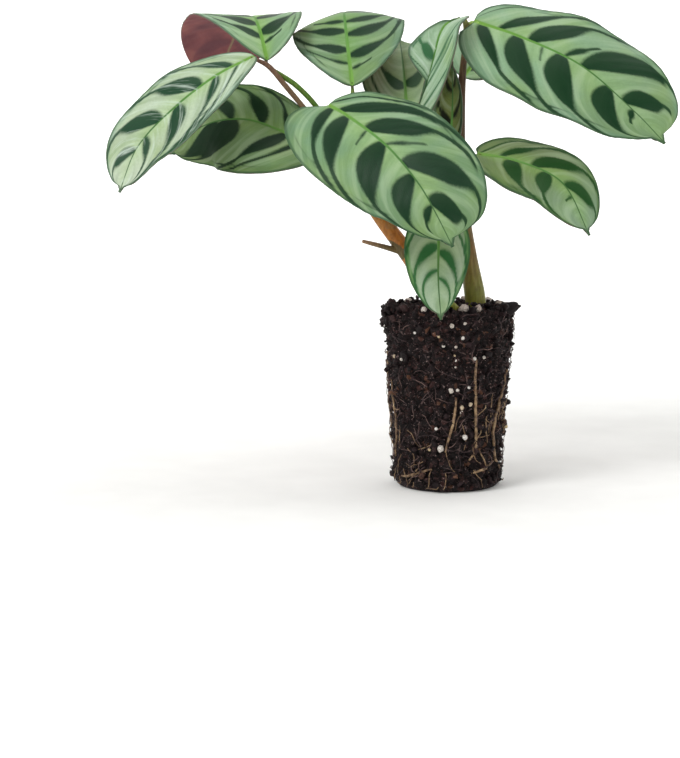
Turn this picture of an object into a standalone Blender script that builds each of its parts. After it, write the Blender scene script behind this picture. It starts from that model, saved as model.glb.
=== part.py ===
# A young ctenanthe with its bare root plug, standing on the plug's flat underside.
# Origin: centre of the plug's underside. +Z up; the best side of the plant looks along -Y.

import math
import random

import bmesh
import bpy
from mathutils import Vector, noise

MM = 0.001
GAP = 0.3                    # between solids that touch on the real plant, mm

# Root plug, mm
PLUG_HEIGHT = 50.0
PLUG_TOP_RADIUS = 18.0
PLUG_FOOT_RADIUS = 14.8
PLUG_RIM_ROUND = 2.4
PLUG_FOOT_ROUND = 1.0
PLUG_CROWN = 0.6             # how much higher the middle of the top lies than its rim
PLUG_CRUMB = 0.9             # how far the lumps of peat stand out
LUMP_SIZE = 6.0
FINE_LUMP_SIZE = 2.6
HOLE_DEPTH = 9.0
PLUG_SIDES = 40
PLUG_LEVELS = 12
TOP_RINGS = 4

# Leaf blades, mm
BLADE_THICKNESS = 0.64
BLADE_BASE_HALF = 0.6
BLADE_TIP_HALF = 0.35
BLADE_LONG_STEPS = 16
BLADE_CROSS_STEPS = 6
TAIL_SHARE = 0.10            # width of the drip tip where it leaves the blade, as a share of the widest
RIPPLE_PHASES = (0.4, 1.5)   # where the margins' ripples start on the left and the right, so that they differ

# Stalks, mm
PETIOLE_RADIUS = 0.95
PETIOLE_STRAIGHT = 1.6       # the last stretch, in line with the midrib
STALK_SIDES = 9
PETIOLE_SIDES = 8
SHOOT_RINGS = 26
PETIOLE_RINGS = 9
STUB_RINGS = 5

PATH_STEPS = 240             # steps in which the length of a smooth path is measured
STEPS_PER_RING = 8           # path points from one ring of a stalk to the next


for old in list(bpy.data.objects):
    bpy.data.objects.remove(old, do_unlink=True)


def material(name, colour, roughness):
    made = bpy.data.materials.new(name)
    made.use_nodes = True
    shader = made.node_tree.nodes["Principled BSDF"]
    shader.inputs["Base Color"].default_value = (*colour, 1.0)
    shader.inputs["Roughness"].default_value = roughness
    shader.inputs["Metallic"].default_value = 0.0
    return made


PEAT = material("peat", (0.020, 0.011, 0.009), 0.95)
LEAF = material("leaf blade", (0.16, 0.33, 0.17), 0.40)
STALK = material("stalk", (0.20, 0.11, 0.05), 0.50)


def smooth_path(points, t):
    """The point at t (0 to 1) of the smooth curve that runs through all the points."""
    spans = len(points) - 1
    place = min(max(t, 0.0) * spans, spans - 1e-9)
    i = int(place)
    f = place - i
    b = Vector(points[i])
    c = Vector(points[i + 1])
    a = Vector(points[i - 1]) if i > 0 else b * 2.0 - c
    d = Vector(points[i + 2]) if i + 2 < len(points) else c * 2.0 - b
    span = (c - b).length
    leave = (c - a) * (span / ((b - a).length + span))
    arrive = (d - b) * (span / ((d - c).length + span))
    g = f * f * (3.0 - 2.0 * f)
    return b.lerp(c, g) + leave * (f * (1.0 - f) ** 2) - arrive * (f * f * (1.0 - f))


def even_path(points, count):
    """Points an even length apart along the smooth curve through the given points."""
    fine = [smooth_path(points, i / PATH_STEPS) for i in range(PATH_STEPS + 1)]
    run = [0.0]
    for p, q in zip(fine, fine[1:]):
        run.append(run[-1] + (q - p).length)
    out = []
    j = 0
    for i in range(count):
        want = run[-1] * i / (count - 1)
        while j < PATH_STEPS - 1 and run[j + 1] < want:
            j += 1
        f = (want - run[j]) / (run[j + 1] - run[j])
        out.append(fine[j].lerp(fine[j + 1], f))
    return out


def ease(values, t):
    """The value at t (0 to 1) of a list of evenly spaced numbers."""
    place = min(max(t, 0.0), 1.0) * (len(values) - 1)
    i = min(int(place), len(values) - 2)
    f = place - i
    return values[i] + (values[i + 1] - values[i]) * f


def outline(t, shoulder, blunt, drip):
    """Half width of a blade at t along its midrib, 1 at the widest: round base, drawn-out tip."""
    body_end = 1.0 - drip
    u = min(t / body_end, 1.0)
    body = math.sin(math.pi * u ** shoulder) ** blunt
    tail = TAIL_SHARE * (1.0 - t) / drip if t > 0.5 else 0.0
    return max(body, min(tail, TAIL_SHARE))


# Each leaf: the midrib's points from the blade's base to its tip; the way the upper face looks at
# places an even way along it. Pairs are for the halves left and right of the midrib, seen on the upper
# face with the tip pointing away: halves, their widths; shoulder, less than 1 where the widest place
# lies near the base; blunt, less for a blunter half; drip, the drip tip's share of the length; lobe,
# how far the base's round corner reaches back. Then, from the base to the tip: fold, how far both
# halves rise from the midrib (degrees); curl, how much further the margins rise (degrees). Last, wave,
# the margin's ripple (mm), and how many ripples it has.
LEAVES = {
    "leaf_right": dict(
        spine=[(6.6, 2.0, 127.6), (19.7, 0.0, 123.1), (35.4, -4.0, 115.5), (49.6, -9.0, 103.0),
               (57.0, -12.6, 95.0)],
        face=[(0.2, -0.75, 0.6), (0.25, -0.8, 0.55), (0.3, -1.0, 0.2)],
        halves=(18.0, 19.2), shoulder=(1.34, 0.69), blunt=(0.34, 0.55), drip=(0.04, 0.05), lobe=(1.0, 5.5),
        fold=[8, 6, 4], curl=[-10, -14, -10], wave=0.7, ripples=3.0),
    "leaf_centre_front": dict(
        spine=[(-33.2, -8.0, 105.1), (-27.7, -16.0, 102.1), (-17.5, -27.0, 94.5), (-9.6, -34.0, 85.2),
               (-5.5, -37.0, 78.2), (-0.9, -38.0, 69.2)],
        face=[(-0.1, -0.7, 0.7), (-0.06, -0.92, 0.36), (-0.1, -1.0, 0.0)],
        halves=(16.7, 19.2), shoulder=(1.75, 0.69), blunt=(0.25, 0.58), drip=(0.04, 0.04), lobe=(1.0, 10.5),
        fold=[14, 6, 4], curl=[-8, -10, -8], wave=0.6, ripples=2.5),
    "leaf_left": dict(
        spine=[(-53.2, -0.5, 118.2), (-63.3, -8.0, 112.9), (-74.2, -15.0, 104.4), (-83.4, -21.0, 94.3),
               (-88.0, -25.0, 82.6)],
        face=[(-0.1, -0.6, 0.8), (-0.1, -0.75, 0.63), (-0.3, -0.85, 0.4)],
        halves=(9.8, 10.7), shoulder=(1.10, 1.14), blunt=(0.48, 0.44), drip=(0.03, 0.03), lobe=(0.2, 0.2),
        fold=[14, 6, 4], curl=[-8, -10, -6], wave=0.5, ripples=2.5),
    "leaf_upper_left": dict(
        spine=[(-50.0, 4.0, 117.2), (-52.5, 13.0, 126.0), (-55.0, 24.0, 129.6), (-59.5, 36.0, 126.0),
               (-64.0, 45.0, 117.0), (-67.5, 49.0, 106.0)],
        face=[(0.0, -0.75, 0.6), (-0.05, 0.3, 1.0), (-0.3, 0.9, 0.3)],
        halves=(17.5, 14.0), shoulder=(1.12, 0.86), blunt=(0.66, 0.60), drip=(0.04, 0.04), lobe=(0.0, 0.0),
        fold=[18, 0, 0], curl=[0, -4, -6], wave=0.5, ripples=2.5),
    "leaf_upper_middle": dict(
        spine=[(-26.6, 5.0, 110.2), (-27.8, 13.0, 120.5), (-28.8, 25.0, 130.0), (-28.4, 40.0, 129.6),
               (-27.5, 55.0, 119.0)],
        face=[(0.0, -0.8, 0.6), (-0.15, -0.15, 1.0), (-0.1, 0.6, 0.8)],
        halves=(15.5, 17.0), shoulder=(0.86, 0.86), blunt=(0.78, 0.78), drip=(0.04, 0.04), lobe=(1.0, 1.0),
        fold=[12, -4, -6], curl=[-6, -12, -10], wave=0.5, ripples=2.5),
    "leaf_middle_back": dict(
        spine=[(-11.2, 9.0, 99.6), (-11.7, 17.0, 109.0), (-12.2, 28.0, 117.5), (-12.6, 42.0, 123.2)],
        face=[(0.0, -0.8, 0.6), (0.0, -0.6, 0.8), (0.0, -0.3, 0.95)],
        halves=(12.0, 12.0), shoulder=(0.90, 0.90), blunt=(0.60, 0.60), drip=(0.04, 0.04), lobe=(1.5, 1.5),
        fold=[12, 6, 4], curl=[-6, -8, -6], wave=0.4, ripples=2.0),
    "leaf_folded": dict(
        spine=[(2.8, 1.0, 128.5), (-1.3, -2.4, 126.5), (-3.1, -3.8, 123.6), (-4.2, -5.2, 119.6),
               (-5.5, -6.0, 114.6), (-6.8, -6.1, 110.0), (-8.3, -6.0, 105.6), (-9.8, -5.6, 101.2),
               (-11.0, -5.0, 97.6)],
        face=[(-0.45, -0.6, 0.65), (-0.45, -0.87, 0.2), (-0.45, -0.87, 0.1)],
        halves=(8.6, 7.2), shoulder=(0.80, 1.60), blunt=(0.38, 1.30), drip=(0.04, 0.38), lobe=(0.2, 0.2),
        fold=[20, 28, 28], curl=[0, 0, 0], wave=0.3, ripples=2.0),
    "leaf_right_mid": dict(
        spine=[(7.2, -4.2, 91.9), (17.8, -8.0, 90.1), (29.5, -14.0, 84.5), (36.2, -21.0, 71.0)],
        face=[(0.1, -0.75, 0.7), (0.2, -0.75, 0.6), (0.4, -0.85, 0.3)],
        halves=(10.2, 11.0), shoulder=(1.10, 1.04), blunt=(0.48, 0.50), drip=(0.05, 0.05), lobe=(3.0, 6.0),
        fold=[14, 6, 4], curl=[-6, -10, -6], wave=0.5, ripples=2.0),
    "leaf_left_back": dict(
        spine=[(-36.4, 2.0, 93.6), (-45.0, 2.5, 97.4), (-56.0, 4.0, 101.0), (-67.0, 6.0, 99.5),
               (-78.0, 8.0, 91.5)],
        face=[(0.0, -0.7, 0.7), (0.0, -0.75, 0.65), (-0.2, -0.8, 0.55)],
        halves=(18.5, 12.5), shoulder=(0.92, 0.92), blunt=(0.56, 0.56), drip=(0.04, 0.04), lobe=(4.0, 3.0),
        fold=[12, 6, 4], curl=[-6, -8, -6], wave=0.5, ripples=2.0),
    "leaf_small_front": dict(
        spine=[(-3.7, -14.6, 77.0), (-3.7, -18.0, 69.0), (-3.8, -20.4, 59.0), (-3.0, -21.0, 48.4)],
        face=[(0.0, -0.95, 0.3), (0.0, -1.0, 0.1), (0.0, -1.0, 0.0)],
        halves=(8.5, 9.2), shoulder=(0.72, 0.72), blunt=(0.58, 0.58), drip=(0.05, 0.05), lobe=(1.0, 1.0),
        fold=[16, 10, 6], curl=[-6, -10, -6], wave=0.4, ripples=2.0),
    "leaf_centre_shaded": dict(
        spine=[(-0.6, 3.0, 90.0), (0.6, 4.0, 97.8), (1.0, 4.6, 108.0), (0.6, 4.8, 116.8)],
        face=[(-0.35, -0.9, 0.1), (-0.4, -0.9, 0.05), (-0.4, -0.9, 0.0)],
        halves=(5.2, 3.6), shoulder=(0.90, 0.90), blunt=(0.62, 0.62), drip=(0.05, 0.05), lobe=(0.5, 0.5),
        fold=[20, 14, 10], curl=[0, 0, 0], wave=0.3, ripples=2.0),
    "leaf_back": dict(
        spine=[(4.4, 14.0, 112.6), (12.0, 24.0, 120.5), (23.0, 38.0, 121.0), (34.0, 52.0, 111.0)],
        face=[(0.2, -0.6, 0.8), (0.3, 0.1, 0.95), (0.45, 0.5, 0.75)],
        halves=(13.0, 13.0), shoulder=(0.86, 0.86), blunt=(0.62, 0.62), drip=(0.04, 0.04), lobe=(1.5, 1.5),
        fold=[12, 6, 4], curl=[-6, -8, -6], wave=0.5, ripples=2.0),
}


def blade_rows(leaf, long_steps, cross_steps):
    """Rows of points on the blade's middle surface, from the base to the tip, each left to right."""
    spine = even_path(leaf["spine"], long_steps + 1)
    rows = []
    for i in range(long_steps + 1):
        t = i / long_steps
        along = (spine[min(i + 1, long_steps)] - spine[max(i - 1, 0)]).normalized()
        side = along.cross(smooth_path(leaf["face"], t)).normalized()
        up = side.cross(along).normalized()
        least = BLADE_BASE_HALF if t < 0.5 else BLADE_TIP_HALF
        fold = math.radians(ease(leaf["fold"], t))
        curl = math.radians(ease(leaf["curl"], t))
        row = []
        for j in range(cross_steps + 1):
            across = 2.0 * j / cross_steps - 1.0
            half = 0 if across < 0.0 else 1
            out = abs(across)
            share = outline(t, leaf["shoulder"][half], leaf["blunt"][half], leaf["drip"][half])
            reach = out * max(share * leaf["halves"][half], least)
            angle = fold + curl * out
            turn = 2.0 * math.pi * leaf["ripples"] * t + RIPPLE_PHASES[half]
            ripple = leaf["wave"] * share * out ** 2 * math.sin(turn)
            back = leaf["lobe"][half] * share ** 0.5 * out ** 2.5 * (1.0 - t) ** 4
            sideways = side * math.copysign(reach * math.cos(angle), across)
            row.append(spine[i] + sideways + up * (reach * math.sin(angle) + ripple) - along * back)
        rows.append(row)
    return rows


def blade_mesh(name, leaf, long_steps, cross_steps):
    """A closed blade of even thickness round the middle surface, with both faces split alike."""
    rows = blade_rows(leaf, long_steps, cross_steps)
    middle = cross_steps // 2
    bm = bmesh.new()
    upper = []
    lower = []
    for i, row in enumerate(rows):
        ahead = rows[min(i + 1, long_steps)]
        behind = rows[max(i - 1, 0)]
        tops = []
        bottoms = []
        for j, point in enumerate(row):
            column = j if 0 < i < long_steps else middle
            along = ahead[column] - behind[column]
            across = row[min(j + 1, cross_steps)] - row[max(j - 1, 0)]
            out = across.cross(along).normalized() * BLADE_THICKNESS / 2.0
            tops.append(bm.verts.new((point + out) * MM))
            bottoms.append(bm.verts.new((point - out) * MM))
        upper.append(tops)
        lower.append(bottoms)
    for i in range(long_steps):
        for j in range(cross_steps):
            a, b, c, d = upper[i][j], upper[i][j + 1], upper[i + 1][j + 1], upper[i + 1][j]
            e, f, g, h = lower[i][j], lower[i][j + 1], lower[i + 1][j + 1], lower[i + 1][j]
            if j < middle:
                corners = ((a, b, c), (a, c, d), (e, g, f), (e, h, g))
            else:
                corners = ((a, b, d), (b, c, d), (e, h, f), (f, h, g))
            for three in corners:
                bm.faces.new(three)
        bm.faces.new((upper[i][0], upper[i + 1][0], lower[i + 1][0], lower[i][0]))
        bm.faces.new((upper[i][-1], lower[i][-1], lower[i + 1][-1], upper[i + 1][-1]))
    for j in range(cross_steps):
        bm.faces.new((upper[0][j], lower[0][j], lower[0][j + 1], upper[0][j + 1]))
        bm.faces.new((upper[-1][j], upper[-1][j + 1], lower[-1][j + 1], lower[-1][j]))
    return finish_mesh(name, bm)


def finish_mesh(name, bm):
    mesh = bpy.data.meshes.new(name)
    bmesh.ops.recalc_face_normals(bm, faces=bm.faces)
    bm.to_mesh(mesh)
    bm.free()
    mesh.shade_smooth()
    return mesh


def add(mesh, skin):
    """An object of the mesh's name, in the given material."""
    piece = bpy.data.objects.new(mesh.name, mesh)
    bpy.context.scene.collection.objects.link(piece)
    mesh.materials.append(skin)
    return piece


def tube_mesh(name, points, radii, sides, rings):
    """A closed round stalk along the smooth curve through the points."""
    steps = rings * STEPS_PER_RING
    spine = even_path(points, steps + 1)
    bm = bmesh.new()
    loops = []
    first = Vector((1.0, 0.0, 0.0))
    for i in range(rings + 1):
        k = i * STEPS_PER_RING
        along = (spine[min(k + 1, steps)] - spine[max(k - 1, 0)]).normalized()
        first = (first - along * first.dot(along)).normalized()
        second = along.cross(first)
        radius = ease(radii, i / rings)
        loop = []
        for side in range(sides):
            turn = 2.0 * math.pi * side / sides
            out = first * math.cos(turn) + second * math.sin(turn)
            loop.append(bm.verts.new((spine[k] + out * radius) * MM))
        loops.append(loop)
    bridge(bm, loops)
    bm.faces.new(list(reversed(loops[0])))
    bm.faces.new(loops[-1])
    return finish_mesh(name, bm)


def bridge(bm, loops):
    """Four-sided faces between each loop of points and the next."""
    for low, high in zip(loops, loops[1:]):
        for k in range(len(low)):
            n = (k + 1) % len(low)
            bm.faces.new((low[k], low[n], high[n], high[k]))


def combine(base, tools, operation):
    """Apply one Boolean of all the tools to the base, then remove the tools."""
    group = bpy.data.collections.new(base.name + "_tools")
    bpy.context.scene.collection.children.link(group)
    for tool in tools:
        group.objects.link(tool)
    joint = base.modifiers.new(operation, "BOOLEAN")
    joint.operation = operation
    joint.operand_type = "COLLECTION"
    joint.collection = group
    depsgraph = bpy.context.evaluated_depsgraph_get()
    done = bpy.data.meshes.new_from_object(base.evaluated_get(depsgraph))
    base.modifiers.clear()
    base.data = done
    for tool in tools:
        bpy.data.objects.remove(tool, do_unlink=True)
    bpy.data.collections.remove(group)


# Shoots: the main stalk's points and radii from its buried foot up; then the petioles, each from a
# point inside the stalk to the blade that it carries.
RIGHT_FOOT = Vector((7.9, 0.0, 42.5))
RIGHT_STALK = [RIGHT_FOOT, (7.5, 0.0, 51.0), (5.6, 0.6, 62.6), (4.2, 2.0, 74.0), (3.3, 4.6, 90.0),
               (3.4, 6.8, 104.0), (3.8, 6.6, 114.0), (4.6, 4.4, 123.0)]
RIGHT_RADII = [2.9, 2.9, 2.3, 1.7, 1.5, 1.3, 1.1, 1.1]
LEFT_FOOT = Vector((1.4, -4.4, 43.4))
LEFT_STALK = [LEFT_FOOT, (-3.2, -4.3, 51.4), (-11.4, -4.0, 64.4), (-19.6, -2.6, 75.6), (-27.6, 0.0, 88.0),
              (-32.8, 2.0, 96.5)]
LEFT_RADII = [2.2, 2.2, 2.3, 2.1, 1.8, 1.5]
STUB = [(-12.6, -4.0, 65.0), (-17.7, -5.2, 66.6), (-24.0, -6.0, 68.3)]
STUB_RADII = [0.9, 0.75, 0.55]

PETIOLES_RIGHT = {
    "leaf_right": [(4.2, 5.4, 119.5), (4.6, 4.2, 123.6)],
    "leaf_folded": [(4.0, 6.0, 116.5), (4.3, 4.8, 121.0)],
    "leaf_back": [(3.4, 6.4, 101.0), (3.3, 9.6, 106.0)],
    "leaf_middle_back": [(3.3, 4.4, 88.5), (-4.0, 5.4, 91.6)],
    "leaf_right_mid": [(3.6, 3.6, 84.0), (4.4, 0.0, 89.0)],
    "leaf_centre_shaded": [(3.8, 3.2, 80.0), (0.6, 2.4, 84.0)],
}
PETIOLES_LEFT = {
    "leaf_left": [(-31.4, 1.4, 94.0), (-40.0, 4.0, 104.3), (-46.5, 3.2, 112.6)],
    "leaf_upper_left": [(-30.4, 1.0, 92.6), (-36.4, 5.4, 103.0), (-43.5, 5.6, 110.8)],
    "leaf_upper_middle": [(-25.0, -0.8, 84.0), (-25.8, 1.2, 97.0)],
    "leaf_centre_front": [(-29.0, 0.6, 90.2), (-33.4, -0.4, 99.6)],
    "leaf_left_back": [(-25.6, -0.6, 84.8), (-31.0, 1.6, 89.6)],
    "leaf_small_front": [(-16.8, -3.2, 72.0), (-10.5, -8.2, 78.6)],
}


def petiole(leaf_name, route):
    """A stalk from inside the shoot to just short of the blade, ending in line with the midrib."""
    spine = even_path(LEAVES[leaf_name]["spine"], PATH_STEPS + 1)
    along = (spine[STEPS_PER_RING] - spine[0]).normalized()
    end = spine[0] - along * GAP
    points = [Vector(p) for p in route] + [end - along * PETIOLE_STRAIGHT, end]
    radii = [PETIOLE_RADIUS, PETIOLE_RADIUS, PETIOLE_RADIUS * 0.9]
    return add(tube_mesh(leaf_name + "_petiole", points, radii, PETIOLE_SIDES, PETIOLE_RINGS), STALK)


def shoot(name, stalk, radii, petioles, extras):
    """A main stalk grown together with its petioles, and with whatever else stands on it."""
    body = add(tube_mesh(name, stalk, radii, STALK_SIDES, SHOOT_RINGS), STALK)
    branches = [petiole(leaf_name, route) for leaf_name, route in petioles.items()]
    combine(body, branches + extras, "UNION")


def plug_radius(z):
    """Radius of the plug at a height, before its crumbs."""
    share = z / PLUG_HEIGHT
    return PLUG_FOOT_RADIUS + (PLUG_TOP_RADIUS - PLUG_FOOT_RADIUS) * share ** 1.4


def crumb(point):
    """How far the peat stands out at a point, mm: coarse lumps with finer ones on them."""
    coarse = noise.noise(point / LUMP_SIZE)
    fine = noise.noise(point / FINE_LUMP_SIZE + Vector((7.0, 3.0, 1.0)))
    return PLUG_CRUMB * (coarse + 0.5 * fine)


def plug_profile():
    """Radius and height of each ring of the plug, from the middle of its underside to its top."""
    profile = [(PLUG_FOOT_RADIUS * 0.55, 0.0), (PLUG_FOOT_RADIUS - PLUG_FOOT_ROUND, 0.0)]
    for turn in (math.radians(45.0), math.radians(90.0)):
        profile.append((PLUG_FOOT_RADIUS - PLUG_FOOT_ROUND * (1.0 - math.sin(turn)),
                        PLUG_FOOT_ROUND * (1.0 - math.cos(turn))))
    for k in range(1, PLUG_LEVELS + 1):
        z = PLUG_FOOT_ROUND + (PLUG_HEIGHT - PLUG_RIM_ROUND - PLUG_FOOT_ROUND) * k / PLUG_LEVELS
        profile.append((plug_radius(z), z))
    for turn in (math.radians(30.0), math.radians(60.0), math.radians(90.0)):
        profile.append((PLUG_TOP_RADIUS - PLUG_RIM_ROUND * (1.0 - math.cos(turn)),
                        PLUG_HEIGHT - PLUG_RIM_ROUND * (1.0 - math.sin(turn))))
    for k in range(TOP_RINGS, 0, -1):
        share = k / (TOP_RINGS + 1)
        profile.append((PLUG_TOP_RADIUS * share, PLUG_HEIGHT + PLUG_CROWN * (1.0 - share)))
    return profile


def plug_mesh():
    """A turned block with round edges; its sides and top are lumpy, its underside is flat."""
    bm = bmesh.new()
    loops = []
    for radius, z in plug_profile():
        loop = []
        for k in range(PLUG_SIDES):
            turn = 2.0 * math.pi * k / PLUG_SIDES
            place = Vector((radius * math.cos(turn), radius * math.sin(turn), z))
            if z > PLUG_HEIGHT - PLUG_RIM_ROUND:
                place.z += crumb(place)
            elif z > PLUG_FOOT_ROUND:
                place += crumb(place) * Vector((math.cos(turn), math.sin(turn), 0.0))
            loop.append(bm.verts.new(place * MM))
        loops.append(loop)
    bridge(bm, loops)
    bm.faces.new(list(reversed(loops[0])))
    top = bm.verts.new(Vector((0.0, 0.0, PLUG_HEIGHT + PLUG_CROWN)) * MM)
    for k in range(PLUG_SIDES):
        bm.faces.new((loops[-1][k], loops[-1][(k + 1) % PLUG_SIDES], top))
    bmesh.ops.triangulate(bm, faces=bm.faces)
    return finish_mesh("root_plug", bm)


def lump_mesh(name, centre, size, seed):
    """A grain or chip: a rough ball, squashed and dented."""
    bm = bmesh.new()
    bmesh.ops.create_icosphere(bm, subdivisions=1, radius=1.0)
    draw = random.Random(seed)
    for vert in bm.verts:
        dent = 0.82 + 0.3 * draw.random()
        spot = Vector((vert.co.x * size[0], vert.co.y * size[1], vert.co.z * size[2])) * dent
        vert.co = (Vector(centre) + spot) * MM
    return finish_mesh(name, bm)


# Roots that show on the plug's sides, from above down: the way round the plug (degrees) and height (mm).
ROOTS = [
    [(-66, 37), (-67, 31), (-63, 24), (-60, 14), (-70, 9)],
    [(-85, 26), (-87, 22), (-90, 17), (-95, 12)],
    [(-22, 33), (-30, 25), (-37, 14), (-25, 6)],
    [(-150, 3.5), (-133, 4.4), (-109, 6.5)],
    [(-67, 5.4), (-53, 6.4), (-37, 8)],
    [(124, 40), (130, 28), (121, 12)],
    [(72, 35), (64, 21), (71, 8)],
    [(170, 37), (176, 24), (168, 10)],
]
ROOT_RADII = [0.4, 0.55, 0.55, 0.35]
ROOT_STANDS_OUT = 0.2
ROOT_SIDES = 6
ROOT_RINGS = 9
HOLE_SIDES = 16
# Perlite grains: on the top by x and y, on the sides by the way round and height; then the radius.
TOP_GRAINS = [(3.6, -12.6, 1.5), (7.4, -12.2, 1.1), (-7.4, -13.6, 1.1), (-1.6, 10.0, 1.4), (-11.0, 6.0, 1.2),
              (11.4, 8.0, 1.2)]
TOP_GRAIN_RISE = 0.2
SIDE_GRAINS = [(194, 45, 0.9), (148, 22, 1.0), (-128, 38, 0.9), (20, 30, 1.0)]
GRAIN_SEED = 20
BARK_CENTRE = (16.2, -4.2, 48.4)
BARK_SIZE = (3.4, 2.0, 1.8)
BARK_SEED = 5


def on_side(turn_degrees, z, stand_out):
    """A point on the plug's side, standing out from it by the given amount."""
    turn = math.radians(turn_degrees)
    radius = plug_radius(z)
    spot = Vector((radius * math.cos(turn), radius * math.sin(turn), z))
    radius += crumb(spot) + stand_out
    return Vector((radius * math.cos(turn), radius * math.sin(turn), z))


def planting_hole(name, stalk, radius):
    """A round cutter that follows a stalk's foot down into the peat, wider by the gap all round."""
    foot = Vector(stalk[0])
    lean = (Vector(stalk[1]) - foot).normalized()
    ends = [foot - lean * GAP, foot + lean * (HOLE_DEPTH + 4.0)]
    wide = radius + GAP
    return add(tube_mesh(name, ends, [wide, wide], HOLE_SIDES, 2), PEAT)


def root_plug():
    """The peat block with the roots, grains and bark that show on it, and a hole for each shoot."""
    plug = add(plug_mesh(), PEAT)
    extras = []
    for i, route in enumerate(ROOTS):
        spots = [on_side(turn, z, ROOT_STANDS_OUT) for turn, z in route]
        extras.append(add(tube_mesh("root_%d" % i, spots, ROOT_RADII, ROOT_SIDES, ROOT_RINGS), PEAT))
    grains = [(Vector((x, y, PLUG_HEIGHT + TOP_GRAIN_RISE)), radius) for x, y, radius in TOP_GRAINS]
    grains += [(on_side(turn, z, 0.0), radius) for turn, z, radius in SIDE_GRAINS]
    for i, (centre, radius) in enumerate(grains):
        extras.append(add(lump_mesh("grain_%d" % i, centre, (radius, radius, radius), GRAIN_SEED + i), PEAT))
    extras.append(add(lump_mesh("bark", BARK_CENTRE, BARK_SIZE, BARK_SEED), PEAT))
    combine(plug, extras, "UNION")
    holes = [planting_hole("hole_right", RIGHT_STALK, RIGHT_RADII[0]),
             planting_hole("hole_left", LEFT_STALK, LEFT_RADII[0])]
    combine(plug, holes, "DIFFERENCE")


root_plug()
shoot("shoot_right", RIGHT_STALK, RIGHT_RADII, PETIOLES_RIGHT, [])
shoot("shoot_left", LEFT_STALK, LEFT_RADII, PETIOLES_LEFT,
      [add(tube_mesh("stub", STUB, STUB_RADII, PETIOLE_SIDES, STUB_RINGS), STALK)])
for leaf_name, leaf_shape in LEAVES.items():
    add(blade_mesh(leaf_name, leaf_shape, BLADE_LONG_STEPS, BLADE_CROSS_STEPS), LEAF)
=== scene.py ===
import math
import random

import bpy
from mathutils import Euler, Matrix, Vector, kdtree, noise


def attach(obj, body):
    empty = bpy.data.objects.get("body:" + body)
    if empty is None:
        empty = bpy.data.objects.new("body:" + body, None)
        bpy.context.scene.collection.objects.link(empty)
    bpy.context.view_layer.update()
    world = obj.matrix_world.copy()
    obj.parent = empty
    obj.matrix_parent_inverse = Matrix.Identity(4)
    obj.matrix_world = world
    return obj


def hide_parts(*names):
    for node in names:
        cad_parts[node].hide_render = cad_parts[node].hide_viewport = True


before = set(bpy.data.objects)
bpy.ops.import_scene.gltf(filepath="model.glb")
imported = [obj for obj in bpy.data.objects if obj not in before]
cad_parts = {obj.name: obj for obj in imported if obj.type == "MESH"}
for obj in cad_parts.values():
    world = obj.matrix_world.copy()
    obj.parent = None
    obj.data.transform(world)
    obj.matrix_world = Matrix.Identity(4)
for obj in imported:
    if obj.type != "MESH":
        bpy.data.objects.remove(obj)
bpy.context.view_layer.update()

MM = 0.001


# Peat block. Damp milled peat that filled a tapered cell of a growing tray and was pulled out of it,
# held together by the plant's roots. Its underside is flat; the rest is torn clumps and shreds.

def pick(*pieces):
    """Select these pieces and nothing else, the first one active."""
    bpy.ops.object.select_all(action="DESELECT")
    for piece in pieces:
        piece.select_set(True)
    bpy.context.view_layer.objects.active = pieces[0]


def modify(piece, kind, **settings):
    """Add a modifier with its settings and apply it."""
    pick(piece)
    modifier = piece.modifiers.new(kind.lower(), kind)
    for name, value in settings.items():
        setattr(modifier, name, value)
    bpy.ops.object.modifier_apply(modifier=modifier.name)


def join(pieces):
    pick(*pieces)
    if len(pieces) > 1:
        bpy.ops.object.join()
    bpy.ops.object.transform_apply(location=True, rotation=True, scale=True)
    return bpy.context.object


def dress(piece, name, materials, slot, *nodes):
    """Name a finished piece, give it its materials, and put it in the place of its CAD nodes."""
    piece.name = name
    for item in materials:
        piece.data.materials.append(item)
    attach(piece, "root")
    if nodes:
        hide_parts(*nodes)


def tone(code):
    """An sRGB hex colour as linear RGBA."""
    parts = [int(code[i:i + 2], 16) / 255.0 for i in (1, 3, 5)]
    return tuple(c / 12.92 if c <= 0.04045 else ((c + 0.055) / 1.055) ** 2.4 for c in parts) + (1.0,)


def new_material(name, **sockets):
    """A Principled material; the named sockets get plain values."""
    made = bpy.data.materials.new(name)
    made.use_nodes = True
    shader = made.node_tree.nodes["Principled BSDF"]
    for socket, value in sockets.items():
        shader.inputs[socket.replace("_", " ")].default_value = value
    return made, made.node_tree, shader


def node(tree, kind, inputs, output=0, stops=(), **settings):
    """Add a shader node. Each input is a value or the socket that feeds it; one output comes back."""
    made = tree.nodes.new("ShaderNode" + kind)
    for name, value in settings.items():
        setattr(made, name, value)
    for place, value in inputs.items():
        if isinstance(value, bpy.types.NodeSocket):
            tree.links.new(value, made.inputs[place])
        else:
            made.inputs[place].default_value = value
    if stops:
        points = made.color_ramp.elements
        while len(points) < len(stops):
            points.new(0.5)
        for point, (place, shade) in zip(points, stops):
            point.position = place
            point.color = tone(shade) if isinstance(shade, str) else (shade, shade, shade, 1.0)
    return made.outputs[output]


def ease(values, t):
    """The value at t (0 to 1) of a list of evenly spaced values."""
    place = min(max(t, 0.0), 1.0) * (len(values) - 1)
    i = min(int(place), len(values) - 2)
    f = place - i
    return values[i] * (1.0 - f) + values[i + 1] * f


def smooth(low, high, value):
    share = min(max((value - low) / (high - low), 0.0), 1.0)
    return share * share * (3.0 - 2.0 * share)


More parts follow.
